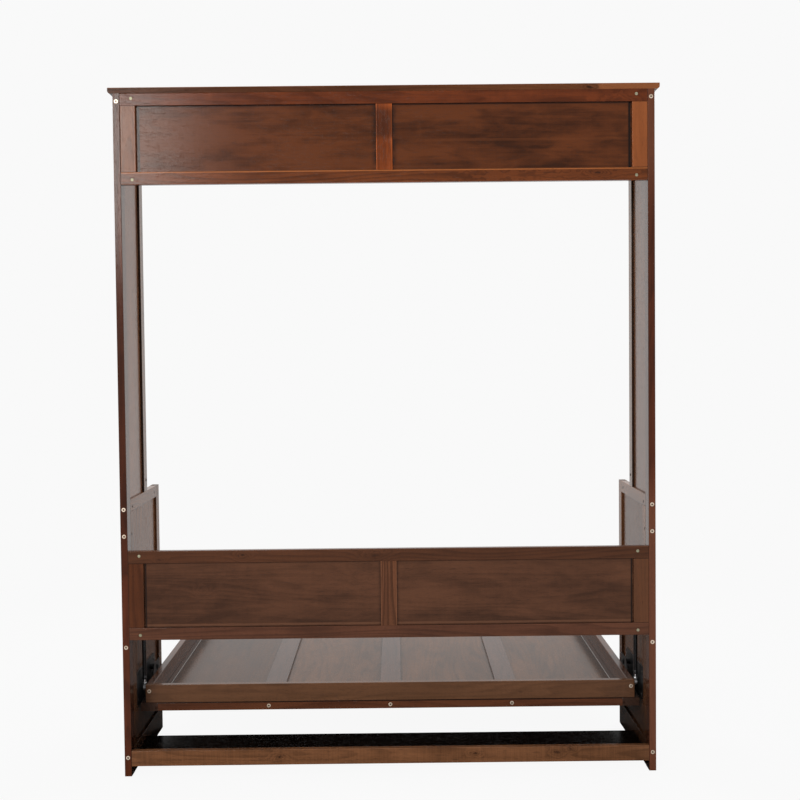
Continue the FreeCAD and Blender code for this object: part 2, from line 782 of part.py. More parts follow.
# Bottom of the cabinet
bottom_board = board(
    "Rear_bottom_rail",
    "X",
    [left_inner_face, "0", "bottom_rail_lift"],
    outline("board_thickness", "bottom_rail_height"),
    "2 * %s" % half_inside,
)
bottom_drills = both_sides(bottom_bolt, "Bottom")
node(cut("Rear_bottom_rail", bottom_board, bottom_drills), "rear_bottom_rail")

base_board = board(
    "Base_board",
    "X",
    [left_inner_face, "board_thickness", "bottom_rail_lift"],
    outline("base_board_depth", "base_board_thickness"),
    "2 * %s" % half_inside,
)
node(base_board, "base_board")

# Cap: a flat board over the whole cabinet, its lower edge rounded where it overhangs
cap_half = "( %s + cap_overhang )" % half_outside
cap_depth = "( tall_depth + cap_overhang )"
cap = board(
    "Cap_board",
    "Y",
    ["0 - %s" % cap_half, "0", "frame_height"],
    outline("2 * %s" % cap_half, "cap_thickness"),
    cap_depth,
    None,
)
cap_pad = cap.Tip
cap_round = cap.newObject("PartDesign::Fillet", "Cap_lower_edge")
cap_round.Base = (cap_pad, free_edges(cap_pad.Shape, False))
cap_round.setExpression("Radius", known("cap_edge_radius"))
doc.recompute()
cap_soft = cap.newObject("PartDesign::Fillet", "Cap_upper_edge")
cap_soft.Base = (cap_round, free_edges(cap_round.Shape, True))
cap_soft.setExpression("Radius", known("edge_radius"))
node(cap, "cap_board")

# Mattress tray: four rails on the deck, the end rails bolted to the side rails
tray_bolt_height = "%s - tray_bolt_drop" % rail_top
rail_middle = "( 0 - %s + tray_rail_thickness / 2 )" % half_bed
rail_inner_face = "( 0 - %s + tray_rail_thickness )" % half_bed
tray_nut_length = "( tray_rail_thickness - nut_cover )"


def tray_joint(name, face, direction, sign):
    """Bolt of an end rail into the end of the left side rail."""
    nut_station = "( %s %s ( tray_rail_thickness + nut_reach ) )" % (face, sign)
    return bolt_joint(
        name,
        [rail_middle, face, tray_bolt_height],
        direction,
        "small_bolt_diameter",
        "tray_rail_thickness",
        "nut_reach",
        [rail_inner_face, nut_station, tray_bolt_height],
        "-X",
        tray_nut_length,
    )


head_joint = tray_joint("Tray_head", "head_offset", "+Y", "+")
foot_joint = tray_joint("Tray_foot", foot_end, "-Y", "-")

tray_section = outline("tray_rail_thickness", "tray_rail_height")
head_board = board(
    "Tray_head_rail",
    "X",
    ["0 - %s" % half_bed, "head_offset", deck_top],
    tray_section,
    "2 * %s" % half_bed,
)
node(cut("Tray_head_rail", head_board, both_sides(head_joint, "Tray_head")), "tray_head_rail")
foot_board = board(
    "Tray_foot_rail",
    "X",
    ["0 - %s" % half_bed, "%s - tray_rail_thickness" % foot_end, deck_top],
    tray_section,
    "2 * %s" % half_bed,
)
node(cut("Tray_foot_rail", foot_board, both_sides(foot_joint, "Tray_foot")), "tray_foot_rail")

side_rail_board = board(
    "Tray_side_rail",
    "Y",
    ["0 - %s" % half_bed, "head_offset + tray_rail_thickness", deck_top],
    tray_section,
    "tray_length - 2 * tray_rail_thickness",
)

# Deck: a frame of stiles and end rails with four panels, which is the front when closed
deck_groove_up = "( %s - deck_underside - groove_play / 2 )" % deck_panel_low
deck_groove = (deck_groove_up, groove_width, "groove_depth")
deck_stile = board(
    "Deck_outer_stile",
    "Y",
    ["0 - %s" % deck_outside, "head_offset", "deck_underside"],
    outline("deck_edge_width", "deck_thickness", {"far": deck_groove}),
    "tray_length",
)
group("deck_outer_stiles", [deck_stile, mirrored(deck_stile, "Deck_outer_stile_right")])

inner_stile_start = "( head_offset + deck_stile_width )"
inner_stile_length = "( tray_length - 2 * deck_stile_width )"
deck_bolt_height = "( deck_underside + deck_thickness / 2 )"
deck_nut_length = "( deck_thickness - nut_cover )"
bay_count = int(sheet_value("deck_bays"))
inner_stiles = []
deck_joints = []
for bay in range(1, bay_count):
    middle = "( 0 - %s - deck_stile_width / 2 + %d * %s )" % (deck_half, bay, bay_pitch)
    for end, face, direction, sign in (
        ("head", "head_offset", "+Y", "+"),
        ("foot", foot_end, "-Y", "-"),
    ):
        station = "( %s %s ( deck_stile_width + nut_reach ) )" % (face, sign)
        deck_joints.append(
            bolt_joint(
                "Deck_%s_%d" % (end, bay),
                [middle, face, deck_bolt_height],
                direction,
                "small_bolt_diameter",
                "deck_stile_width",
                "nut_reach",
                [middle, station, deck_top],
                "-Z",
                deck_nut_length,
            )
        )
    stile_board = board(
        "Deck_inner_stile_%d" % bay,
        "Y",
        ["%s - deck_stile_width / 2" % middle, inner_stile_start, "deck_underside"],
        outline("deck_stile_width", "deck_thickness", {"near": deck_groove, "far": deck_groove}),
        inner_stile_length,
    )
    drills = [joint["drill"] for joint in deck_joints[-2:]]
    inner_stiles.append(cut("Deck_inner_stile_%d" % bay, stile_board, drills))
group("deck_inner_stiles", inner_stiles)

head_drills = [joint["drill"] for joint in deck_joints[0::2]]
foot_drills = [joint["drill"] for joint in deck_joints[1::2]]
deck_head_board = board(
    "Deck_head_rail",
    "X",
    ["0 - %s" % deck_half, "head_offset", "deck_underside"],
    outline("deck_stile_width", "deck_thickness", {"far": deck_groove}),
    "2 * %s" % deck_half,
)
node(cut("Deck_head_rail", deck_head_board, head_drills), "deck_head_rail")
deck_panels = []
for bay in range(bay_count):
    start = "( 0 - %s + %d * %s )" % (deck_half, bay, bay_pitch)
    deck_panels.append(
        block(
            "Deck_panel_%d" % (bay + 1),
            ["%s - %s" % (start, tongue), "%s - %s" % (inner_stile_start, tongue), deck_panel_low],
            [
                "%s - deck_stile_width + 2 * %s" % (bay_pitch, tongue),
                "%s + 2 * %s" % (inner_stile_length, tongue),
                "panel_thickness",
            ],
        )
    )
group("deck_panels", deck_panels)

# Pivot of the left side: a steel plate on the side frame, a pin with a spacer, and a
# bracket on the side rail that also carries the lower end of the strut
pivot_line = ["pivot_offset", "pivot_height"]
plate_corners = outline("plate_length", "plate_height")
plate_board = board(
    "Pivot_plate",
    "X",
    ["0 - %s" % panel_face, "plate_start", "plate_bottom"],
    plate_corners,
    "plate_thickness",
    "plate_corner_radius",
)
plate_hole = rod(
    "Pivot_plate_hole",
    ["0 - %s - cutter_overrun" % panel_face] + pivot_line,
    "+X",
    "pin_diameter",
    "plate_thickness + 2 * cutter_overrun",
)


plate_screw_length = "plate_thickness + screw_length"
cabinet_screws = [stile_screw]
plate_screw_holes = []
for along_name, along_place in (
    ("rear", "plate_start + plate_screw_inset"),
    ("front", "plate_start + plate_length - plate_screw_inset"),
):
    for up_name, up_place in (
        ("low", "plate_bottom + plate_screw_inset"),
        ("high", "plate_bottom + plate_height - plate_screw_inset"),
    ):
        name = "Plate_screw_%s_%s" % (along_name, up_name)
        face = ["0 - %s" % plate_face, along_place, up_place]
        piece, hole = screw(name, face, "-X", plate_screw_length)
        cabinet_screws.append(piece)
        plate_screw_holes.append(hole)
left_plate = cut("Pivot_plate", plate_board, [plate_hole] + plate_screw_holes)
side_pair(left_plate, "left_pivot_plate", "right_pivot_plate")

pin_top = "( %s - running_gap - pin_head_height )" % half_bed
shoulder_start = "( %s + running_gap )" % bracket_face
pin_head = rod(
    "Pivot_pin_head",
    ["0 - %s" % pin_top] + pivot_line,
    "-X",
    "pin_head_diameter",
    "pin_head_height",
)
pin_shank = rod(
    "Pivot_pin_shank",
    ["0 - %s" % pin_top] + pivot_line,
    "-X",
    "pin_diameter",
    "%s - %s" % (panel_face, pin_top),
)
pin_shoulder = rod(
    "Pivot_pin_shoulder",
    ["0 - %s" % shoulder_start] + pivot_line,
    "-X",
    "pin_shoulder_diameter",
    "%s - %s" % (plate_face, shoulder_start),
)
left_pin = joined("Pivot_pin", [pin_head, pin_shank, pin_shoulder])
group("pivot_pins", [left_pin, mirrored(left_pin, "Pivot_pin_right")])

bracket_start = "( strut_foot_offset - bracket_end_margin )"
bracket_bottom = "( %s + bracket_lower_edge )" % deck_top
bracket_run = "( pivot_offset + bracket_room_margin - %s )" % bracket_start
bracket_low_top = "( %s - bracket_step - %s )" % (rail_top, bracket_bottom)
bracket_high_top = "( pivot_height + bracket_end_margin - %s )" % bracket_bottom
bracket_rise_end = "( pivot_offset - bracket_room_margin - %s )" % bracket_start
bracket_rise_start = "( %s - bracket_end_margin )" % bracket_rise_end
bracket_board = board(
    "Bed_bracket",
    "X",
    ["0 - %s" % bracket_face, bracket_start, bracket_bottom],
    [
        ("0", "0"),
        (bracket_run, "0"),
        (bracket_run, bracket_high_top),
        (bracket_rise_end, bracket_high_top),
        (bracket_rise_start, bracket_low_top),
        ("0", bracket_low_top),
    ],
    "bracket_thickness",
    None,
)
bracket_hole = rod(
    "Bed_bracket_hole",
    ["0 - %s + cutter_overrun" % half_bed] + pivot_line,
    "-X",
    "pin_diameter + 2 * pin_play",
    "bracket_thickness + 2 * cutter_overrun",
)
eye_inner = "( %s - strut_eye_width / 2 )" % strut_line
foot_boss = rod(
    "Strut_foot_boss",
    ["0 - %s" % half_bed, "strut_foot_offset", "strut_foot_height"],
    "-X",
    "strut_boss_diameter",
    "%s - running_gap - %s" % (eye_inner, half_bed),
)
bed_screws = []
bracket_screw_holes = []
screw_count = int(sheet_value("bracket_screws"))
screw_pitch = "( ( %s - 2 * bracket_end_margin ) / ( bracket_screws - 1 ) )" % bracket_run
for number in range(screw_count):
    station = "%s + bracket_end_margin + %d * %s" % (bracket_start, number, screw_pitch)
    face = ["0 - %s" % bracket_face, station, "%s + bracket_screw_rise" % bracket_bottom]
    length = "bracket_thickness + screw_length"
    piece, hole = screw("Bed_bracket_screw_%d" % number, face, "+X", length)
    bed_screws.append(piece)
    bracket_screw_holes.append(hole)
bracket_plate = cut("Bed_bracket_plate", bracket_board, [bracket_hole] + bracket_screw_holes)
left_bracket = joined("Bed_bracket", [bracket_plate, foot_boss])
side_pair(left_bracket, "left_bed_bracket", "right_bed_bracket")

# The bracket's screws end in the side rails, which get their holes here
side_drills = [head_joint["drill"], foot_joint["drill"]] + bracket_screw_holes
side_rail = cut("Tray_side_rail", side_rail_board, side_drills)
side_pair(side_rail, "tray_left_rail", "tray_right_rail")

# Gas strut of the left side, upright while the bed is open
strut_top = ["0 - %s" % strut_line, "strut_foot_offset", "strut_top_height"]
top_eye = rod(
    "Strut_top_eye",
    ["0 - %s" % eye_inner, "strut_foot_offset", "strut_top_height"],
    "-X",
    "strut_eye_diameter",
    "strut_eye_width",
)
top_neck = rod(
    "Strut_top_neck", strut_top, "-Z", "strut_rod_diameter", "strut_neck + strut_bore_end_wall / 2"
)
tube_start = onward(strut_top, "-Z", "strut_neck")
tube = rod("Strut_tube_wall", tube_start, "-Z", "strut_tube_diameter", tube_length)
tube_bore = rod(
    "Strut_tube_bore",
    onward(tube_start, "-Z", "strut_bore_end_wall"),
    "-Z",
    "strut_bore_diameter",
    tube_length,
)
top_stud_hole = rod(
    "Strut_top_stud_hole",
    ["0 - %s + cutter_overrun" % eye_inner, "strut_foot_offset", "strut_top_height"],
    "-X",
    "strut_stud_diameter + 2 * running_gap",
    "strut_eye_width + 2 * cutter_overrun",
)
left_tube = cut(
    "Strut_tube",
    joined("Strut_tube_solid", [top_eye, top_neck, tube]),
    [tube_bore, top_stud_hole],
)
side_pair(left_tube, "left_strut_tube", "right_strut_tube")

strut_foot = ["0 - %s" % strut_line, "strut_foot_offset", "strut_foot_height"]
foot_eye = rod(
    "Strut_foot_eye",
    ["0 - %s" % eye_inner, "strut_foot_offset", "strut_foot_height"],
    "-X",
    "strut_eye_diameter",
    "strut_eye_width",
)
piston_rod = rod("Strut_piston_rod", strut_foot, "+Z", "strut_rod_diameter", rod_length)
left_rod = joined("Strut_rod", [foot_eye, piston_rod])
side_pair(left_rod, "left_strut_rod", "right_strut_rod")

top_plate_corner = [
    "0 - %s" % panel_face,
    "strut_foot_offset - strut_plate_size / 2",
    "strut_top_height - strut_plate_size / 2",
]
top_plate = board(
    "Strut_top_plate",
    "X",
    top_plate_corner,
    outline("strut_plate_size", "strut_plate_size"),
    "plate_thickness",
    "plate_corner_radius",
)
top_stud = rod(
    "Strut_top_stud",
    ["0 - %s" % panel_face, "strut_foot_offset", "strut_top_height"],
    "+X",
    "strut_stud_diameter",
    "%s - %s" % (panel_face, eye_inner),
)
stud_shoulder = rod(
    "Strut_top_shoulder",
    ["0 - %s" % panel_face, "strut_foot_offset", "strut_top_height"],
    "+X",
    "strut_shoulder_diameter",
    "%s - %s - strut_eye_width - running_gap" % (panel_face, eye_inner),
)
top_screw_holes = []
for side, sign in (("rear", "-"), ("front", "+")):
    inset = "( strut_plate_size / 2 - screw_head_diameter )"
    face = ["0 - %s" % plate_face, "strut_foot_offset %s %s" % (sign, inset)]
    face.append("strut_top_height %s %s" % (sign, inset))
    piece, hole = screw("Strut_screw_" + side, face, "-X", plate_screw_length)
    cabinet_screws.append(piece)
    top_screw_holes.append(hole)
left_top_bracket = cut(
    "Strut_top_bracket",
    joined("Strut_top_bracket_solid", [top_plate, top_stud, stud_shoulder]),
    top_screw_holes,
)
group("strut_top_brackets", [left_top_bracket, mirrored(left_top_bracket, "Strut_top_right")])

# The screws of the plates end in the lower panels, which get their holes here
drilled_panel = cut("Lower_panel_drilled", lower_panel, plate_screw_holes + top_screw_holes)
side_pair(drilled_panel, "left_lower_panel", "right_lower_panel")

# Legs at the foot end, each on a pin between the cheeks of a steel bracket
leg_corner = "( 0 - %s - leg_size / 2 )" % leg_middle
leg_shaft = block(
    "Leg_shaft",
    [leg_corner, "%s - leg_size / 2" % leg_station, "0"],
    ["leg_size", "leg_size", leg_pivot_height],
)
leg_round = rod(
    "Leg_round_top",
    [leg_corner, leg_station, leg_pivot_height],
    "+X",
    "leg_size",
    "leg_size",
)
leg_bore = rod(
    "Leg_bore",
    ["%s - cutter_overrun" % leg_corner, leg_station, leg_pivot_height],
    "+X",
    "leg_pin_diameter + 2 * running_gap",
    "leg_size + 2 * cutter_overrun",
)
leg = cut("Leg", joined("Leg_solid", [leg_shaft, leg_round]), [leg_bore])
side_pair(leg, "left_leg", "right_leg")

cheek_outside = "( leg_size / 2 + leg_side_play + leg_plate_thickness )"
bracket_low = "( %s - leg_cheek_depth / 2 )" % leg_pivot_height
leg_base = block(
    "Leg_bracket_base",
    [
        "0 - %s - %s" % (leg_middle, cheek_outside),
        "%s - leg_size / 2 - leg_plate_margin" % leg_station,
        "deck_underside - leg_plate_thickness",
    ],
    ["2 * %s" % cheek_outside, "leg_size + 2 * leg_plate_margin", "leg_plate_thickness"],
)
cheeks = []
for side, cheek_start in (
    ("outer", "0 - %s - %s" % (leg_middle, cheek_outside)),
    ("inner", "0 - %s + %s - leg_plate_thickness" % (leg_middle, cheek_outside)),
):
    cheeks.append(
        block(
            "Leg_cheek_" + side,
            [cheek_start, "%s - leg_cheek_depth / 2" % leg_station, bracket_low],
            ["leg_plate_thickness", "leg_cheek_depth", "deck_underside - %s" % bracket_low],
        )
    )
pin_overall = "( 2 * ( %s + leg_pin_overhang ) )" % cheek_outside
leg_pin = rod(
    "Leg_pin",
    ["0 - %s - %s / 2" % (leg_middle, pin_overall), leg_station, leg_pivot_height],
    "+X",
    "leg_pin_diameter",
    pin_overall,
)
leg_screw_holes = []
for end, y_sign in (("rear", "-"), ("front", "+")):
    for side, x_sign in (("outer", "-"), ("inner", "+")):
        margin_middle = "( leg_size / 2 + leg_plate_margin / 2 )"
        face = ["0 - %s %s leg_screw_spacing / 2" % (leg_middle, x_sign)]
        face.append("%s %s %s" % (leg_station, y_sign, margin_middle))
        face.append("deck_underside - leg_plate_thickness")
        name = "Leg_screw_%s_%s" % (end, side)
        piece, hole = screw(name, face, "+Z", "leg_plate_thickness + screw_length")
        bed_screws.append(piece)
        leg_screw_holes.append(hole)
bracket_solid = joined("Leg_bracket_solid", [leg_base] + cheeks)
left_leg_bracket = cut("Leg_bracket", bracket_solid, [leg_pin] + leg_screw_holes)
leg_hardware = [left_leg_bracket, leg_pin]
leg_twins = [mirrored(piece, piece.Name + "_right") for piece in leg_hardware]
group("leg_brackets", leg_hardware + leg_twins)

# The foot rail of the deck, which also takes the screws of the leg brackets
deck_foot_board = board(
    "Deck_foot_rail",
    "X",
    ["0 - %s" % deck_half, "%s - deck_stile_width" % foot_end, "deck_underside"],
    outline("deck_stile_width", "deck_thickness", {"near": deck_groove}),
    "2 * %s" % deck_half,
)
leg_drills = leg_screw_holes + [mirrored(hole, hole.Name + "_right") for hole in leg_screw_holes]
node(cut("Deck_foot_rail", deck_foot_board, foot_drills + leg_drills), "deck_foot_rail")


# Fasteners, each kind as one group of separate solids
def fastener_group(label, pieces):
    twins = [mirrored(piece, piece.Name + "_right") for piece in pieces]
    group(label, pieces + twins)


side_joints = post_joints + front_joints
fastener_group("frame_bolts", [joint["bolt"] for joint in side_joints])
fastener_group("rail_bolts", [joint["bolt"] for joint in rail_joints])
fastener_group("frame_barrel_nuts", [joint["nut"] for joint in side_joints + rail_joints])
fastener_group("cabinet_screws", cabinet_screws)
fastener_group("bed_screws", bed_screws)
tray_joints = [head_joint, foot_joint]
tray_bolts = [joint["bolt"] for joint in tray_joints]
tray_bolts += [mirrored(piece, piece.Name + "_right") for piece in tray_bolts]
group("bed_bolts", tray_bolts + [joint["bolt"] for joint in deck_joints])
tray_nuts = [joint["nut"] for joint in tray_joints]
tray_nuts += [mirrored(piece, piece.Name + "_right") for piece in tray_nuts]
group("bed_barrel_nuts", tray_nuts + [joint["nut"] for joint in deck_joints])

doc.recompute()

for thing in doc.Objects:
    if "Invalid" in thing.State or "Error" in thing.State:
        raise RuntimeError("%s could not be worked out" % thing.Label)
for label, thing in NODES.items():
    if thing.Shape.isNull() or not thing.Shape.isValid():
        raise RuntimeError("%s has no valid shape" % label)

os.makedirs("parts", exist_ok=True)
for label, thing in NODES.items():
    thing.Shape.exportStep("parts/%s.step" % label)
    print(label, len(thing.Shape.Solids), round(thing.Shape.Volume))
print(len(NODES), "nodes")
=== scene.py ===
import math

import bmesh
import bpy
from mathutils import Matrix, Vector


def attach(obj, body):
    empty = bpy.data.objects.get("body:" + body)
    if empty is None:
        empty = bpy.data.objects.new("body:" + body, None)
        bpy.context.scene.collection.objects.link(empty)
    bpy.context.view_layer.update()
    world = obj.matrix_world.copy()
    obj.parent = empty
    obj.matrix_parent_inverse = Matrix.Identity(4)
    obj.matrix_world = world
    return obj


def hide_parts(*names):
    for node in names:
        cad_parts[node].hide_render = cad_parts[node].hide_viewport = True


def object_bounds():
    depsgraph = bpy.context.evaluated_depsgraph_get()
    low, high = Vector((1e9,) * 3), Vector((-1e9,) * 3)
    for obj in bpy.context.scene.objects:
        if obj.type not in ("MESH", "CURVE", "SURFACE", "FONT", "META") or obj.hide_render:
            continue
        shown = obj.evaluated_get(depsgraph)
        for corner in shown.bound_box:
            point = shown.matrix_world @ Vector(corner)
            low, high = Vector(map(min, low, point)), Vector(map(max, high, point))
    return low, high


# A wall bed with its bed folded down, seen from the wall side.
# Metres, X to the right, Y from the wall into the room, Z up. The origin is on the floor
# below the middle of the bed, so the wall plane lies at WALL.

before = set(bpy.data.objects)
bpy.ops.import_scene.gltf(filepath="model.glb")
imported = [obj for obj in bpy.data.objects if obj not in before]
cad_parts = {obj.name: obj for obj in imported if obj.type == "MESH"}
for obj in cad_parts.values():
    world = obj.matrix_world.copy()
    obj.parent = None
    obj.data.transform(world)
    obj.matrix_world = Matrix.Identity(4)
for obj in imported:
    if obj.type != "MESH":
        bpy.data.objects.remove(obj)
cad_low, cad_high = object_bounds()

WALL = cad_low.y
BACKGROUND = (0.9473, 0.9473, 0.9473, 1.0)


def linked(name, data):
    """A new object, linked to the scene."""
    made = bpy.data.objects.new(name, data)
    bpy.context.scene.collection.objects.link(made)
    return made


# --- Node helpers ---


class Field:
    """An output of a node tree that can be used in sums and products."""

    def __init__(self, tree, socket):
        self.tree = tree
        self.socket = socket

    def math(self, operation, *others, clamp=False):
        made = self.tree.nodes.new("ShaderNodeMath")
        made.operation = operation
        made.use_clamp = clamp
        for place, value in zip(made.inputs, (self, *others)):
            put(self.tree, place, value)
        return Field(self.tree, made.outputs[0])

    def __add__(self, other):
        return self.math("ADD", other)

    def __sub__(self, other):
        return self.math("SUBTRACT", other)

    def __mul__(self, other):
        return self.math("MULTIPLY", other)

    def __truediv__(self, other):
        return self.math("DIVIDE", other)

    __radd__ = __add__
    __rmul__ = __mul__


def put(tree, socket, value):
    """Link or set one input."""
    if isinstance(value, Field):
        tree.links.new(value.socket, socket)
    elif isinstance(value, bpy.types.NodeSocket):
        tree.links.new(value, socket)
    elif value is not None:
        socket.default_value = value


def put_all(tree, node, values):
    """Link or set inputs by their names."""
    for label, value in values.items():
        put(tree, node.inputs[label], value)


def add(tree, kind, inputs=None, output=0, **settings):
    """Add a node, set it up, and give one of its outputs."""
    made = tree.nodes.new(kind)
    for name, value in settings.items():
        setattr(made, name, value)
    put_all(tree, made, inputs or {})
    return Field(tree, made.outputs[output])


def vector_math(tree, operation, first, second=None, output=0):
    made = tree.nodes.new("ShaderNodeVectorMath")
    made.operation = operation
    put(tree, made.inputs[0], first)
    if operation == "SCALE":
        put(tree, made.inputs["Scale"], second)
    elif second is not None:
        put(tree, made.inputs[1], second)
    return Field(tree, made.outputs[output])


def noise(tree, vector, scales, detail=2.0, roughness=0.5, distortion=0.0, output=0):
    inputs = {"Vector": scaled(tree, vector, scales), "Scale": 1.0, "Detail": detail}
    inputs.update({"Roughness": roughness, "Distortion": distortion})
    return add(tree, "ShaderNodeTexNoise", inputs, output)


def ramp(tree, value, low, high, out_low=0.0, out_high=1.0):
    """Smooth step between two values."""
    inputs = {"Value": value, "From Min": low, "From Max": high}
    inputs.update({"To Min": out_low, "To Max": out_high})
    return add(tree, "ShaderNodeMapRange", inputs, interpolation_type="SMOOTHSTEP")


def blend(tree, share, first, second):
    """Blend two colours."""
    made = tree.nodes.new("ShaderNodeMix")
    made.data_type = "RGBA"
    made.clamp_factor = True
    colours = [place for place in made.inputs if place.type == "RGBA"]
    put(tree, made.inputs[0], share)
    for place, value in zip(colours, (first, second)):
        put(tree, place, (*value, 1.0) if isinstance(value, tuple) else value)
    result = [place for place in made.outputs if place.type == "RGBA"]
    return Field(tree, result[0])


def split(tree, vector):
    made = tree.nodes.new("ShaderNodeSeparateXYZ")
    put(tree, made.inputs[0], vector)
    return [Field(tree, made.outputs[axis]) for axis in range(3)]


def merge(tree, x, y, z):
    made = tree.nodes.new("ShaderNodeCombineXYZ")
    for place, value in zip(made.inputs, (x, y, z)):
        put(tree, place, value)
    return Field(tree, made.outputs[0])


def scaled(tree, vector, factors):
    return vector_math(tree, "MULTIPLY", vector, factors)


def group_tree(name, inputs, outputs, kind="ShaderNodeTree"):
    """A node group with named inputs and outputs."""
    tree = bpy.data.node_groups.new(name, kind)
    for label, socket_type, value in inputs:
        socket = tree.interface.new_socket(label, in_out="INPUT", socket_type=socket_type)
        if value is not None:
            socket.default_value = value
    for label, socket_type in outputs:
        tree.interface.new_socket(label, in_out="OUTPUT", socket_type=socket_type)
    entry = tree.nodes.new("NodeGroupInput")
    leave = tree.nodes.new("NodeGroupOutput")
    fields = {place.name: Field(tree, place) for place in entry.outputs if place.name}
    return tree, fields, leave


# --- Stained wood ---

WOOD_GLOSS, WOOD_ROUGH = 0.11, 0.175
GRAIN_BUMP, GRAIN_DEPTH = 0.25, 0.0004
PALE_WOOD = (2.1, 2.24, 2.38)
VECTOR, FLOAT, COLOR = "NodeSocketVector", "NodeSocketFloat", "NodeSocketColor"
# near black: real stain in pores, knots, end grain and joints, and the colour of painted shade
DEEP_STAIN_AND_SHADE = (0.012, 0.005, 0.003)


def make_knot_group():
    """One knot: how far it turns the grain, and how dark it is there."""
    inputs = [
        ("Grain", VECTOR, None),
        ("Place", VECTOR, (0.0, 0.0, 0.0)),
        ("Radius", FLOAT, 0.012),
        ("Stretch", FLOAT, 0.5),
        ("Depth", FLOAT, 1.0),
    ]
    tree, given, leave = group_tree("Knot", inputs, [("Turn", FLOAT), ("Dark", FLOAT)])
    away = vector_math(tree, "SUBTRACT", given["Grain"], given["Place"])
    bent = noise(tree, given["Grain"], (38.0, 64.0, 64.0), detail=1.0, output=1)
    bent = vector_math(tree, "SUBTRACT", bent, (0.5, 0.5, 0.5))
    bent = vector_math(tree, "SCALE", bent, given["Radius"] * 2.4)
    away = vector_math(tree, "ADD", away, bent)
    away = scaled(tree, away, merge(tree, given["Stretch"], 1.0, 0.3))
    distance = vector_math(tree, "LENGTH", away, output=1) / given["Radius"]
    ragged = noise(tree, given["Grain"], (170.0, 330.0, 330.0))
    core = ramp(tree, distance + (ragged - 0.5) * 0.9, 0.75, 0.2)
    rim = ramp(tree, distance, 1.45, 1.0) * ramp(tree, distance, 0.7, 1.0)
    rim = rim * ramp(tree, ragged, 0.35, 0.65)
    put(tree, leave.inputs["Turn"], (distance * distance * -0.3).math("EXPONENT"))
    put(tree, leave.inputs["Dark"], core.math("MAXIMUM", rim * 0.6) * given["Depth"])
    return tree


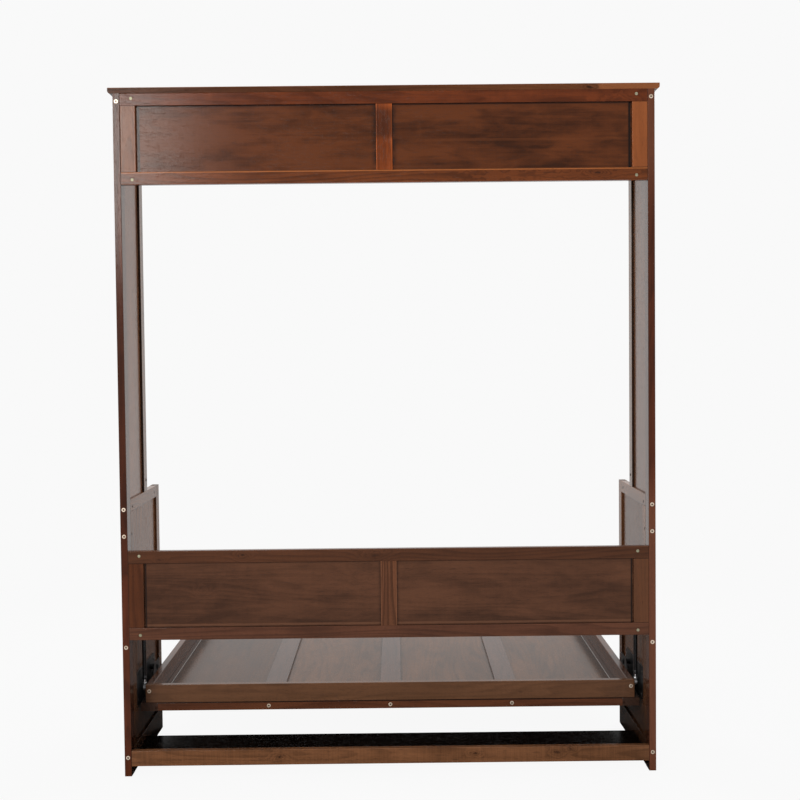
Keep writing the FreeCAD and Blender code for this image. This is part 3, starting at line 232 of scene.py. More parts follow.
def make_wood_group():
    """Walnut-stained wood. The grain runs along the first of its three coordinates."""
    inputs = [
        ("Grain", VECTOR, None),
        ("Normal", VECTOR, None),
        ("Board", VECTOR, (5.0, 5.0, 5.0)),
        ("Start", VECTOR, (-2.5, -2.5, -2.5)),
        ("Seed", FLOAT, 0.0),
        ("Light tone", COLOR, (0.12, 0.04, 0.015, 1.0)),
        ("Dark tone", COLOR, (0.05, 0.018, 0.008, 1.0)),
        ("Bright tone", COLOR, (0.2, 0.08, 0.03, 1.0)),
        ("Cloud", FLOAT, 0.5),
        ("Rings", FLOAT, 0.35),
        ("Lines", FLOAT, 1.0),
        ("Saw marks", FLOAT, 0.0),
        ("Board contrast", FLOAT, 0.2),
        ("Turn", FLOAT, 0.0),
        ("Dark", FLOAT, 0.0),
        ("Pale", FLOAT, 0.0),
        ("Rim", FLOAT, 0.0),
    ]
    outputs = [("Color", COLOR), ("Roughness", FLOAT), ("Height", FLOAT)]
    tree, given, leave = group_tree("Stained_wood", inputs, outputs)

    # each board of a glued panel has its own tone and its own grain
    cell = vector_math(tree, "SUBTRACT", given["Grain"], given["Start"])
    cell = vector_math(tree, "FLOOR", vector_math(tree, "DIVIDE", cell, given["Board"]))
    cell = vector_math(tree, "ADD", cell, merge(tree, given["Seed"], given["Seed"] * 1.7, 0.5))
    made = tree.nodes.new("ShaderNodeTexWhiteNoise")
    put(tree, made.inputs["Vector"], cell)
    chance = Field(tree, made.outputs["Value"])
    shift = scaled(tree, Field(tree, made.outputs["Color"]), (9.0, 3.0, 3.0))
    point = vector_math(tree, "ADD", given["Grain"], shift)

    # the grain sways slowly along the board
    sway = noise(tree, point, (2.2, 3.0, 3.0), detail=1.0) - 0.5
    swayed = vector_math(tree, "ADD", point, merge(tree, 0.0, sway * 0.02, sway * 0.01))

    # growth rings: dark late wood, which runs in arches and round the knots
    figure = noise(tree, swayed, (0.9, 9.0, 9.0), detail=1.5, roughness=0.4)
    along, across, deep = split(tree, swayed)
    phase = figure * 15.0 + across * 40.0 + deep * 26.0 + given["Turn"] * 3.4
    phase = phase.math("FRACT")
    late = ramp(tree, phase, 0.3, 0.88) * ramp(tree, phase, 1.0, 0.9)

    fibre = noise(tree, point, (5.0, 330.0, 330.0), detail=3.0, roughness=0.62)
    streak = noise(tree, swayed, (1.6, 75.0, 75.0), detail=3.0, roughness=0.6)
    hair = noise(tree, point, (34.0, 1500.0, 1500.0), detail=1.0)
    cloud = noise(tree, point, (3.0, 11.0, 11.0), detail=3.0, distortion=0.5)
    mottle = noise(tree, point, (9.0, 26.0, 26.0), detail=4.0, distortion=0.8)
    wide = noise(tree, point, (1.1, 3.2, 3.2), detail=1.0)
    shine = noise(tree, point, (130.0, 16.0, 16.0), detail=2.0)
    saw = noise(tree, point, (330.0, 7.0, 7.0), detail=2.0, roughness=0.7)
    pore = noise(tree, point, (55.0, 1150.0, 1150.0), detail=0.0)
    pore = ramp(tree, pore, 0.31, 0.22)

    lines = (streak - 0.5) * 0.9 + (fibre - 0.5) * 0.55 + (hair - 0.5) * 0.16
    blotch = (cloud - 0.5) * 1.3 + (wide - 0.5) * 0.9 + (mottle - 0.5) * 0.9
    tone = lines * given["Lines"] + blotch * given["Cloud"]
    tone = tone + (shine - 0.5) * 0.2 + (chance - 0.5) * given["Board contrast"]
    tone = tone + (saw - 0.5) * given["Saw marks"]
    tone = (tone + 0.56).math("SUBTRACT", late * given["Rings"], clamp=True)

    colour = blend(tree, tone, given["Dark tone"], given["Light tone"])
    # the pale share: paler tones, a glue line, and painted light and highlights
    colour = blend(tree, given["Pale"], colour, given["Bright tone"])
    facing = split(tree, vector_math(tree, "ABSOLUTE", given["Normal"]))
    flat = facing[0].math("MAXIMUM", facing[1].math("MAXIMUM", facing[2]))
    worn = ramp(tree, flat, 0.985, 0.86) * ramp(tree, fibre + cloud, 0.8, 1.15)
    colour = blend(tree, worn * 0.55, colour, given["Bright tone"])
    colour = blend(tree, pore * 0.5, colour, DEEP_STAIN_AND_SHADE)
    colour = blend(tree, given["Dark"] * 0.85, colour, DEEP_STAIN_AND_SHADE)
    # the rim share: dark joints, darker tones, and painted shade in recesses and beside and below
    # the bed
    colour = blend(tree, given["Rim"], colour, DEEP_STAIN_AND_SHADE)
    end_grain = ramp(tree, facing[0], 0.8, 0.97)
    colour = blend(tree, end_grain * 0.45, colour, DEEP_STAIN_AND_SHADE)

    put(tree, leave.inputs["Color"], colour)
    rough = (fibre - 0.5) * 0.08 + (cloud - 0.5) * 0.1 + pore * 0.1 + end_grain * 0.15
    put(tree, leave.inputs["Roughness"], rough + WOOD_ROUGH)
    height = (fibre - 0.5) * 0.5 + (hair - 0.5) * 0.3 + pore * -0.8 + late * 0.25
    put(tree, leave.inputs["Height"], height + (saw - 0.5) * given["Saw marks"])
    return tree


KNOT = make_knot_group()
WOOD = make_wood_group()


def new_material(name, rough, specular, metal=0.0):
    """A material with its shader. What is the same all over is set on the shader itself."""
    material = bpy.data.materials.new(name)
    material.use_nodes = True
    tree = material.node_tree
    shader = [item for item in tree.nodes if item.type == "BSDF_PRINCIPLED"][0]
    shader.inputs["Roughness"].default_value = rough
    shader.inputs["Specular IOR Level"].default_value = specular
    shader.inputs["Metallic"].default_value = metal
    return material, tree, shader


def dress_shader(tree, shader, colour, rough, height, bump, depth):
    """Give a shader its colour, its roughness and a bump of the given height."""
    inputs = {"Strength": bump, "Distance": depth, "Height": height}
    normal = add(tree, "ShaderNodeBump", inputs)
    put_all(tree, shader, {"Base Color": colour, "Roughness": rough, "Normal": normal})


GRAIN_ORDER = {"X": (0, 2, 1), "Y": (1, 0, 2), "Z": (2, 0, 1)}


def in_grain_order(values, along):
    return tuple(values[axis] for axis in GRAIN_ORDER[along])


def wood(
    name, along, mean, contrast=0.4, gloss=WOOD_GLOSS, bright=PALE_WOOD, knots=(), pale=(), rim=(),
    **values,
):
    """A board's own wood: grain direction, mean colour, and its knots and edges.

    Bright is how much lighter than the mean its pale places are, in red, green and blue. A
    knot is its place, radius, stretch and depth. The pale and rim lists are shares, each a
    function of the tree and the place: pale holds paler tones, a glue line, and painted
    light and highlights; rim holds dark joints, darker tones and painted shade. Values go to
    the inputs of the wood group.
    """
    material, tree, shader = new_material(name, WOOD_ROUGH, gloss)
    coordinates = tree.nodes.new("ShaderNodeTexCoord")
    place = coordinates.outputs["Object"]
    grain = merge(tree, *in_grain_order(split(tree, place), along))
    normal = merge(tree, *in_grain_order(split(tree, coordinates.outputs["Normal"]), along))
    made = tree.nodes.new("ShaderNodeGroup")
    made.node_tree = WOOD
    inputs = {label.replace("_", " ").capitalize(): value for label, value in values.items()}
    inputs["Grain"], inputs["Normal"] = grain, normal
    inputs["Light tone"] = (*(value * (1 + contrast) for value in mean), 1.0)
    inputs["Dark tone"] = (*(value * (1 - contrast * 0.85) for value in mean), 1.0)
    inputs["Bright tone"] = (*(value * more for value, more in zip(mean, bright)), 1.0)
    turn, dark = 0.0, 0.0
    for spot, radius, stretch, depth in knots:
        knot = tree.nodes.new("ShaderNodeGroup")
        knot.node_tree = KNOT
        settings = {"Grain": grain, "Place": in_grain_order(spot, along), "Radius": radius}
        settings.update({"Stretch": stretch, "Depth": depth})
        put_all(tree, knot, settings)
        turn = Field(tree, knot.outputs["Turn"]) + turn
        dark = Field(tree, knot.outputs["Dark"]).math("MAXIMUM", dark)
    inputs["Turn"], inputs["Dark"] = turn, dark
    for label, shares in (("Pale", pale), ("Rim", rim)):
        most = 0.0
        for share in shares:
            most = share(tree, place).math("MAXIMUM", most)
        inputs[label] = most
    put_all(tree, made, inputs)
    dress_shader(tree, shader, *made.outputs, GRAIN_BUMP, GRAIN_DEPTH)
    return material


def coordinate(tree, place, axis):
    return split(tree, place)["XYZ".index(axis)]


def line(axis, at, half, strength):
    """A soft line where a coordinate passes a value. X counts on both sides alike."""

    def share(tree, place):
        value = coordinate(tree, place, axis)
        if axis == "X":
            value = value.math("ABSOLUTE")
        return ramp(tree, (value - at).math("ABSOLUTE"), half, half * 0.35) * strength

    return share


def beyond(axis, start, end, strength):
    """A share that grows from start to end."""

    def share(tree, place):
        return ramp(tree, coordinate(tree, place, axis), start, end) * strength

    return share


def between(axis, low, high, soft, strength):
    """A share between two values, fading over a length at each end."""

    def share(tree, place):
        value = coordinate(tree, place, axis)
        rise = ramp(tree, value, low - soft, low + soft)
        return rise * ramp(tree, value, high + soft, high - soft) * strength

    return share


def where(first, second):
    """Two shares multiplied."""

    def share(tree, place):
        return first(tree, place) * second(tree, place)

    return share


# heights and distances from the middle plane, where the boards meet
UPPER_LOW, UPPER_HIGH = 1.909, 2.113
MIDDLE_LOW, MIDDLE_HIGH = 0.475, 0.679
CENTRE_HALF, END_STILE, POST_INSIDE = 0.025, 0.770, 0.823
TRAY_LOW, DECK_LOW_EDGE = 0.1945, 0.190
DECK_EDGE, DECK_MIDDLE_EDGE = 0.764, 0.036
CAP_TOP, MIDDLE_TOP = 2.170, 0.7185
# distances from the wall
POST_FRONT, TALL_STEP = WALL + 0.050, WALL + 0.266
REAR = beyond("Y", WALL + 0.012, WALL + 0.002, 1.0)
# half the width of a joint, and how dark it is
JOINT, JOINT_DARK = 0.0013, 0.8
# where a share ends and where it is full, for the painted shade on the inside of the sides and the
# painted light on the inside of the posts
SIDE_FADE, OFF_WALL = (0.836, 0.832), (WALL + 0.0005, WALL + 0.003)
POST_FADE, POST_OFF_WALL = (0.8240, 0.8234), (WALL + 0.001, WALL + 0.004)
ABOVE_BED = (0.62, 0.70)
# the height where a shade starts, the height where it is full, and its strength
SHADES = ((0.62, 0.42, 0.6), (0.18, 0.15, 0.7), (0.08, 0.03, 0.95))


def panel_edge_shade(high, depth, strength):
    """Painted shade along the edges of a recessed panel beside the centre stile and the right end
    stile, and a painted shadow under its top rail.
    """

    def share(tree, place):
        x, y, z = split(tree, place)
        near = ramp(tree, x.math("ABSOLUTE"), CENTRE_HALF + depth, CENTRE_HALF)
        far = ramp(tree, x, END_STILE - depth * 0.6, END_STILE)
        top = ramp(tree, z, high - depth * 0.3, high - depth * 0.1)
        ragged = noise(tree, place, (30.0, 30.0, 30.0), detail=2.0)
        most = near.math("MAXIMUM", far) * ramp(tree, ragged, 0.2, 0.6)
        return most.math("MAXIMUM", top) * strength

    return share


def inner_shade(tree, place):
    """The inner faces of the sides get darker beside the bed, below it, and at the floor."""
    x, y, z = split(tree, place)
    inside = ramp(tree, x.math("ABSOLUTE"), *SIDE_FADE) * ramp(tree, y, *OFF_WALL)
    most = 0.0
    for high, low, strength in SHADES:
        most = (ramp(tree, z, high, low) * strength).math("MAXIMUM", most)
    return most * inside


def painted_post_light(tree, place):
    """Painted light on the inner face of a post, above the bed."""
    x, y, z = split(tree, place)
    face = ramp(tree, x.math("ABSOLUTE"), *POST_FADE) * ramp(tree, y, *POST_OFF_WALL)
    return face * ramp(tree, z, *ABOVE_BED)


def on_wall(x, z):
    """A place on the faces that lie against the wall."""
    return (x, WALL, z)


def on_right(strength):
    """A share on the right of the middle plane."""
    return beyond("X", -0.1, 0.1, strength)


def joints(*heights):
    """Fine dark lines where a board meets its neighbours."""
    marks = [line("Z", height, JOINT, JOINT_DARK) for height in heights]
    return marks + [line("X", POST_INSIDE, JOINT, JOINT_DARK)]


def joint_and_step_shade(at, strength=0.8):
    """A fine dark line: a dark joint where boards meet, and painted shade where the next board is
    set back.
    """
    return line("Y", at, 0.0014, strength)


def both_sides(*names):
    return [side + name for side in ("left_", "right_") for name in names]


def dress(name, material):
    """Give a node's slots their material."""
    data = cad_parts[name].data
    if not data.materials:
        data.materials.append(material)
    for number in range(len(data.materials)):
        data.materials[number] = material


def dress_wood(nodes, name, along, mean, **looks):
    """Make a wood and give it to its nodes."""
    material = wood(name, along, mean, **looks)
    for node in nodes:
        dress(node, material)


dress_wood(
    ["cap_board"], "cap_wood", "X", (0.053, 0.0190, 0.0088), gloss=0.03, bright=(4.2, 4.1, 3.3),
    cloud=1.0, seed=1.0, knots=[(on_wall(0.643, 2.157), 0.009, 0.4, 1.0)],
    pale=[
        where(beyond("X", 0.655, 0.68, 0.7), REAR), where(beyond("X", -0.1, 0.5, 0.24), REAR),
        # a painted highlight along the cap's top edge
        where(line("Z", CAP_TOP, 0.003, 0.4), REAR),
    ],
)
dress_wood(
    ["left_rear_post"], "left_post_wood", "Z", (0.058, 0.0140, 0.0050), bright=(3.4, 7.6, 13.0),
    seed=2.0, cloud=0.7, rings=0.4, lines=1.3,
    rim=[line("X", POST_INSIDE, JOINT, 0.7), between("Z", 0.66, 1.5, 0.12, 0.36), inner_shade],
    # painted light on the post's inner face, in a bluish pale tone
    pale=[painted_post_light],
)
dress_wood(
    ["right_rear_post"], "right_post_wood", "Z", (0.0565, 0.0137, 0.0050), bright=(2.4, 3.7, 5.4),
    seed=3.0, cloud=0.7, rings=0.3, lines=1.3,
    # paler tones, and painted light on the post's inner face
    pale=[beyond("Z", 1.7, 2.0, 0.42), beyond("Z", 1.0, 0.8, 0.5), painted_post_light],
    rim=[line("X", POST_INSIDE, JOINT, 0.7), inner_shade],
)
dress_wood(
    ["upper_top_rail"], "upper_top_rail_wood", "X", (0.090, 0.0198, 0.0050), seed=4.0, cloud=1.2,
    knots=[(on_wall(0.735, 2.114), 0.013, 0.4, 0.1), (on_wall(0.702, 2.134), 0.003, 0.7, 0.5)],
    rim=joints(UPPER_HIGH),
)
dress_wood(
    ["upper_bottom_rail"], "upper_bottom_rail_wood", "X", (0.086, 0.0225, 0.0060),
    bright=(3.0, 3.6, 3.6), seed=5.0, cloud=1.2, rings=0.5,
    knots=[(on_wall(0.664, 1.893), 0.007, 0.4, 0.8), (on_wall(0.50, 1.886), 0.014, 0.08, 0.0)],
    # wear and a painted highlight along the rail's top edge
    pale=[line("Z", UPPER_LOW - 0.001, 0.0048, 1.3)], rim=joints(),
)
dress_wood(
    ["upper_panels"], "upper_panel_wood", "X", (0.0545, 0.0147, 0.0040), contrast=0.55, seed=6.0,
    cloud=1.9, rings=0.1, lines=0.75, board_contrast=0.04,
    pale=[
        # a painted highlight along the panel's lower edge
        line("Z", UPPER_LOW + 0.001, 0.003, 0.5),
        where(line("Z", 2.000, 0.006, 0.3), beyond("X", 0.0, 0.25, 1.0)),
    ],
    # painted shade along the panel's edges and in the grooves beside the end stiles
    rim=[panel_edge_shade(UPPER_HIGH, 0.020, 0.8), line("X", END_STILE - 0.0028, 0.0062, 0.97)],
)
dress_wood(
    ["upper_end_stiles"], "upper_end_wood", "Z", (0.108, 0.034, 0.0110), bright=(2.6, 2.3, 2.0),
    board=(5.0, 1.0, 5.0), seed=7.0, cloud=1.0, pale=[on_right(0.46)],
    rim=joints(UPPER_LOW, UPPER_HIGH),
)
dress_wood(
    ["upper_centre_stile"], "upper_centre_wood", "Z", (0.175, 0.037, 0.007), contrast=0.5,
    seed=8.0, cloud=1.5, rings=0.25, pale=[line("X", CENTRE_HALF, 0.003, 0.8)],
    rim=[between("Z", 2.010, 2.098, 0.012, 0.58)],
)
dress_wood(
    ["middle_top_rail"], "middle_top_rail_wood", "X", (0.051, 0.0180, 0.0078), seed=9.0,
    pale=[line("Z", MIDDLE_TOP, 0.003, 0.3)], rim=joints(MIDDLE_HIGH),
    knots=[
        (on_wall(-0.722, 0.690), 0.005, 0.5, 0.5), (on_wall(-0.460, 0.700), 0.008, 0.6, 0.8),
        (on_wall(-0.043, 0.696), 0.010, 0.35, 0.5),
    ],
)
dress_wood(
    ["middle_bottom_rail"], "middle_bottom_rail_wood", "X", (0.0717, 0.0265, 0.0137), seed=10.0,
    cloud=0.7, rim=joints(MIDDLE_LOW),
)
dress_wood(
    ["middle_panels"], "middle_panel_wood", "X", (0.057, 0.0228, 0.0113), seed=11.0, cloud=1.5,
    rings=0.2, lines=0.7, board_contrast=0.04,
    knots=[(on_wall(-0.055, 0.655), 0.018, 0.35, 0.25), (on_wall(-0.588, 0.587), 0.010, 0.7, 0.1)],
    # a painted highlight along the panel's lower edge
    pale=[line("Z", MIDDLE_LOW + 0.006, 0.005, 0.6)],
    # painted shade along the panel's edges and in the grooves beside the end stiles
    rim=[panel_edge_shade(MIDDLE_HIGH, 0.012, 0.45), line("X", END_STILE - 0.001, 0.0035, 0.95)],
)
dress_wood(
    ["middle_end_stiles"], "middle_end_wood", "Z", (0.054, 0.0155, 0.0050), bright=(2.3, 3.6, 5.6),
    board=(5.0, 1.0, 5.0), seed=12.0, pale=[on_right(0.36)],
    rim=joints(MIDDLE_LOW, MIDDLE_HIGH),
)
dress_wood(
    ["middle_centre_stile"], "middle_centre_wood", "Z", (0.092, 0.0335, 0.0150), contrast=0.5,
    seed=13.0, rings=0.6, pale=[line("X", CENTRE_HALF, 0.0028, 0.5)],
)
dress_wood(
    ["rear_bottom_rail"], "bottom_rail_wood", "X", (0.109, 0.0455, 0.0200), seed=14.0, cloud=0.9,
    saw_marks=0.9, rim=[line("X", POST_INSIDE, 0.002, 0.7)],
    knots=[
        (on_wall(-0.352, 0.057), 0.007, 0.5, 1.0), (on_wall(0.268, 0.063), 0.006, 0.5, 0.9),
        (on_wall(0.529, 0.063), 0.008, 0.5, 0.8), (on_wall(0.574, 0.072), 0.006, 0.6, 0.9),
    ],
)
# nearly black and dull: painted shade on the board under the bed
dress_wood(["base_board"], "base_wood_painted_shade", "X", (0.0035, 0.0018, 0.0012), gloss=0.01, seed=15.0)
dress_wood(
    both_sides("tall_panel"), "tall_panel_wood", "Z", (0.128, 0.050, 0.0205), gloss=0.135,
    board=(5.0, 1.0, 0.11), seed=16.0, rings=0.25, lines=1.5,
    # painted shade in the recess before the step of the front stile
    rim=[beyond("Y", TALL_STEP - 0.007, TALL_STEP - 0.001, 0.85), on_right(0.36)],
)
dress_wood(
    both_sides("tall_front_stile"), "tall_stile_wood", "Z", (0.105, 0.047, 0.021), gloss=0.15,
    # painted shade where the front stile steps out from the panel
    board=(5.0, 1.0, 0.24), seed=17.0, rim=[joint_and_step_shade(TALL_STEP, 0.9)],
)
dress_wood(
    both_sides("lower_panel"), "lower_panel_wood", "Z", (0.118, 0.049, 0.0215), gloss=0.055,
    board=(5.0, 1.0, 0.11), seed=25.0, rings=0.3, lines=1.5,
    rim=[inner_shade, on_right(0.42)],
)
dress_wood(
    both_sides("lower_front_stile", "lower_rear_stile"), "lower_stile_wood", "Z",
    (0.110, 0.046, 0.0205), gloss=0.06, board=(5.0, 1.0, 0.24), seed=26.0,
    rim=[inner_shade, joint_and_step_shade(POST_FRONT)],
)
dress_wood(
    both_sides("tall_top_rail", "lower_top_rail", "lower_bottom_rail"), "side_rail_wood", "Y",
    (0.108, 0.046, 0.0215), gloss=0.07, board=(5.0, 1.0, 0.5), seed=18.0,
    rim=[inner_shade, joint_and_step_shade(POST_FRONT)],
)
dress_wood(
    ["tray_head_rail", "tray_foot_rail"], "tray_end_wood", "X", (0.091, 0.0405, 0.0195),
    board=(5.0, 5.0, 1.5), start=(-2.5, -2.5, -1.5), seed=19.0, rings=0.2, lines=0.7,
    rim=[line("Z", TRAY_LOW, 0.0032, 0.95)],
)
dress_wood(
    ["tray_left_rail", "tray_right_rail"], "tray_side_wood", "Y", (0.058, 0.0222, 0.0108),
    board=(5.0, 1.0, 5.0), seed=20.0, cloud=0.8,
)
dress_wood(
    ["deck_outer_stiles", "deck_inner_stiles"], "deck_stile_wood", "Y", (0.056, 0.0265, 0.0165),
    gloss=0.128, board=(5.0, 0.4, 5.0), start=(-2.5, -1.0, -2.5), seed=21.0, lines=1.4,
    # a grey painted highlight along the outer stiles' inner edge
    bright=(3.0, 6.0, 9.0),
    pale=[where(line("X", DECK_EDGE, 0.0030, 0.8), beyond("Z", DECK_LOW_EDGE, 0.194, 1.0))],
    # painted shade in the gaps beside the middle stile
    rim=[line("X", DECK_MIDDLE_EDGE, 0.0024, 0.8)],
)
dress_wood(
    ["deck_head_rail", "deck_foot_rail"], "deck_rail_wood", "X", (0.070, 0.0225, 0.0095),
    board=(5.0, 5.0, 1.5), start=(-2.5, -2.5, -1.5), seed=22.0,
    rim=[line("Z", TRAY_LOW, 0.0028, 0.95)],
)
dress_wood(
    ["deck_panels"], "deck_panel_wood", "Y", (0.067, 0.0300, 0.0140), contrast=0.42, gloss=0.084,
    board=(5.0, 0.4, 5.0), start=(-2.5, -0.8, -2.5), seed=23.0, cloud=1.3, rings=0.35,
    knots=[((0.70, -0.51, 0.18), 0.010, 0.5, 0.5)],
    # painted shade beside the tray's side rails
    rim=[line("X", DECK_EDGE, 0.032, 0.5), beyond("X", -0.38, -0.44, 0.4)],
)
LEG_WOOD = wood("leg_wood", "Z", (0.070, 0.026, 0.0125), board=(5.0, 1.0, 5.0), seed=24.0)

# --- Metals and rubber ---

# painted shade in the sockets and recesses of fasteners
RECESS_SHADE = (0.012, 0.010, 0.008)
METAL_BUMP = 0.3


def metal(name, colour, second, rough, specular, metallic, grain, bump_mm=0.05, recess=False):
    """A painted, plated or polished metal with small changes of tone and roughness.

    Recess paints shade where the piece's own attribute says that it is sunk.
    """
    material, tree, shader = new_material(name, rough, specular, metallic)
    vector = add(tree, "ShaderNodeTexCoord", output="Object")
    fine = noise(tree, vector, (grain, grain, grain), detail=3.0)
    broad = noise(tree, vector, (70.0, 70.0, 70.0), detail=2.0)
    share = ramp(tree, broad * 0.6 + fine * 0.4, 0.35, 0.65)
    tone = blend(tree, share, colour, second)
    if recess:
        sunk = add(tree, "ShaderNodeAttribute", output="Fac", attribute_name="recess")
        tone = blend(tree, sunk * 0.93, tone, RECESS_SHADE)
    rough = (fine - 0.5) * 0.25 + (broad - 0.5) * 0.2 + rough
    dress_shader(tree, shader, tone, rough, fine, METAL_BUMP, bump_mm / 1000)
    return material


BLACK_PAINT = metal(
    "black_paint", (0.004, 0.004, 0.0045), (0.009, 0.009, 0.0095), 0.42, 0.14, 0.0, 900.0
)
TUBE_PAINT = metal(
    "tube_paint", (0.006, 0.006, 0.007), (0.011, 0.011, 0.012), 0.24, 0.5, 0.0, 500.0
)
PLATED = metal(
    "plated_bolt", (0.50, 0.38, 0.28), (0.76, 0.62, 0.50), 0.38, 0.4, 0.55, 600.0, recess=True
)
NUT_PLATED = metal(
    "plated_nut", (0.16, 0.16, 0.095), (0.30, 0.28, 0.19), 0.42, 0.4, 0.4, 600.0, recess=True
)
# painted shade: the barrel nuts on the inner faces are made near black for the shade they lie in
NUT_SHADED = metal(
    "shaded_nut", (0.008, 0.007, 0.006), (0.018, 0.016, 0.014), 0.5, 0.05, 0.0, 600.0, recess=True
)
DARK_SCREW = metal(
    "dark_screw_finish", (0.03, 0.026, 0.024), (0.06, 0.052, 0.047), 0.4, 0.5, 0.7, 500.0,
    recess=True,
)
ZINC = metal("zinc_steel", (0.42, 0.43, 0.44), (0.56, 0.57, 0.58), 0.34, 0.5, 0.9, 500.0)
CHROME = metal("chromed_rod", (0.66, 0.67, 0.68), (0.74, 0.75, 0.76), 0.14, 0.5, 1.0, 900.0, 0.01)
RUBBER = metal("rubber_foot", (0.012, 0.012, 0.012), (0.022, 0.021, 0.020), 0.7, 0.2, 0.0, 700.0)

for name in (
    *both_sides("pivot_plate"), "strut_top_brackets", *both_sides("bed_bracket"), "leg_brackets"
):
    dress(name, BLACK_PAINT)

# --- Turned fasteners, by geometry nodes ---

SEGMENTS = 24
DRAWN_REACH = 0.01
WELD = 0.00001
SHARP = math.radians(32)


def fastener_tree(name, sizes, rings, cuts=()):
    """A tree that puts a turned fastener on every point of its mesh.

    Each point says which way its fastener goes in, which way its slot lies and how deep
    it reaches. Each ring is a radius, a depth, how far it is a hexagon, how far it is a
    cross, whether it moves with the reach, and how far it lies in a recess, where the
    finish paints shade.
    """
    inputs = [("Geometry", "NodeSocketGeometry", None)]
    inputs += [(label, FLOAT, value) for label, value in sizes.items()]
    inputs.append(("Finish", "NodeSocketMaterial", None))
    outputs = [("Geometry", "NodeSocketGeometry")]
    tree, given, leave = group_tree(name, inputs, outputs, "GeometryNodeTree")
    count = len(rings(given))
    inputs = {"Size X": float(count - 1), "Size Y": float(SEGMENTS)}
    inputs.update({"Vertices X": count, "Vertices Y": SEGMENTS + 1})
    part = add(tree, "GeometryNodeMeshGrid", inputs)
    x, y, _ = split(tree, add(tree, "GeometryNodeInputPosition"))
    ring = (x + (count - 1) / 2).math("ROUND")
    angle = (y + SEGMENTS / 2) * (math.tau / SEGMENTS)

    def pick(column):
        switch = tree.nodes.new("GeometryNodeIndexSwitch")
        switch.data_type = "FLOAT"
        while len(switch.index_switch_items) < count:
            switch.index_switch_items.new()
        put(tree, switch.inputs["Index"], ring)
        for number, row in enumerate(rings(given)):
            put(tree, switch.inputs[number + 1], row[column])
        return Field(tree, switch.outputs[0])

    radius, depth, hexagon, cross, moves, sunk = [pick(column) for column in range(6)]
    depth = depth + moves * DRAWN_REACH
    sixth = math.tau / 6
    fold = (angle + sixth / 2).math("MODULO", sixth) - sixth / 2
    corner = fold.math("COSINE").math("POWER", -1.0)
    radius = radius * ((corner - 1.0) * hexagon + 1.0)
    radius = radius * ((angle * 4.0).math("COSINE") * cross + 1.0)
    place = merge(tree, radius * angle.math("COSINE"), radius * angle.math("SINE"), depth)
    # the recess attribute marks where the finish paints shade
    store = "GeometryNodeStoreNamedAttribute"
    for label, value in (("tip", moves), ("recess", sunk)):
        inputs = {"Geometry": part, "Name": label, "Value": value}
        part = add(tree, store, inputs, data_type="FLOAT", domain="POINT")
    part = add(tree, "GeometryNodeSetPosition", {"Geometry": part, "Position": place})
    part = add(tree, "GeometryNodeMergeByDistance", {"Geometry": part, "Distance": WELD})
    for cut in cuts:
        part = cut(tree, given, part)

    def named(label, kind):
        return add(tree, "GeometryNodeInputNamedAttribute", {"Name": label}, data_type=kind)

    align = "FunctionNodeAlignRotationToVector"
    facing = add(tree, align, {"Vector": named("way", "FLOAT_VECTOR")}, axis="Z")
    inputs = {"Rotation": facing, "Vector": named("slot", "FLOAT_VECTOR")}
    turned = add(tree, align, inputs, axis="X", pivot_axis="Z")
    inputs = {"Points": given["Geometry"], "Instance": part, "Rotation": turned}
    placed = add(tree, "GeometryNodeInstanceOnPoints", inputs)
    real = add(tree, "GeometryNodeRealizeInstances", {"Geometry": placed})
    reach = (named("reach", "FLOAT") - DRAWN_REACH) * named("tip", "FLOAT")
    offset = vector_math(tree, "SCALE", named("way", "FLOAT_VECTOR"), reach)
    real = add(tree, "GeometryNodeSetPosition", {"Geometry": real, "Offset": offset})
    done = add(tree, "GeometryNodeSetMaterial", {"Geometry": real, "Material": given["Finish"]})
    put(tree, leave.inputs["Geometry"], done)
    return tree


def bolt_rings(given):
    """Sunk hexagon socket, a flat head with a softened edge, and a shank."""
    flat = given["Socket width"] / 2.0
    head = given["Head diameter"] / 2.0
    shank = given["Shank diameter"] / 2.0
    soft = given["Softening"]
    return [
        (0.0, given["Socket depth"], 0.0, 0.0, 0.0, 1.0),
        (flat, given["Socket depth"], 1.0, 0.0, 0.0, 1.0),
        (flat, soft, 1.0, 0.0, 0.0, 1.0),
        (flat + soft * 0.8, soft * 0.2, 0.8, 0.0, 0.0, 0.2),
        (head - soft * 3.0, 0.0, 0.0, 0.0, 0.0, 0.0),
        (head - soft * 0.7, soft * 0.4, 0.0, 0.0, 0.0, 0.8),
        (head, soft * 1.4, 0.0, 0.0, 0.0, 1.0),
        (head, given["Head height"], 0.0, 0.0, 0.0, 1.0),
        (shank, given["Head height"], 0.0, 0.0, 0.0, 0.0),
        (shank, soft * -1.5, 0.0, 0.0, 1.0, 0.0),
        (shank - soft * 1.5, 0.0, 0.0, 0.0, 1.0, 0.0),
        (0.0, 0.0, 0.0, 0.0, 1.0, 0.0),
    ]


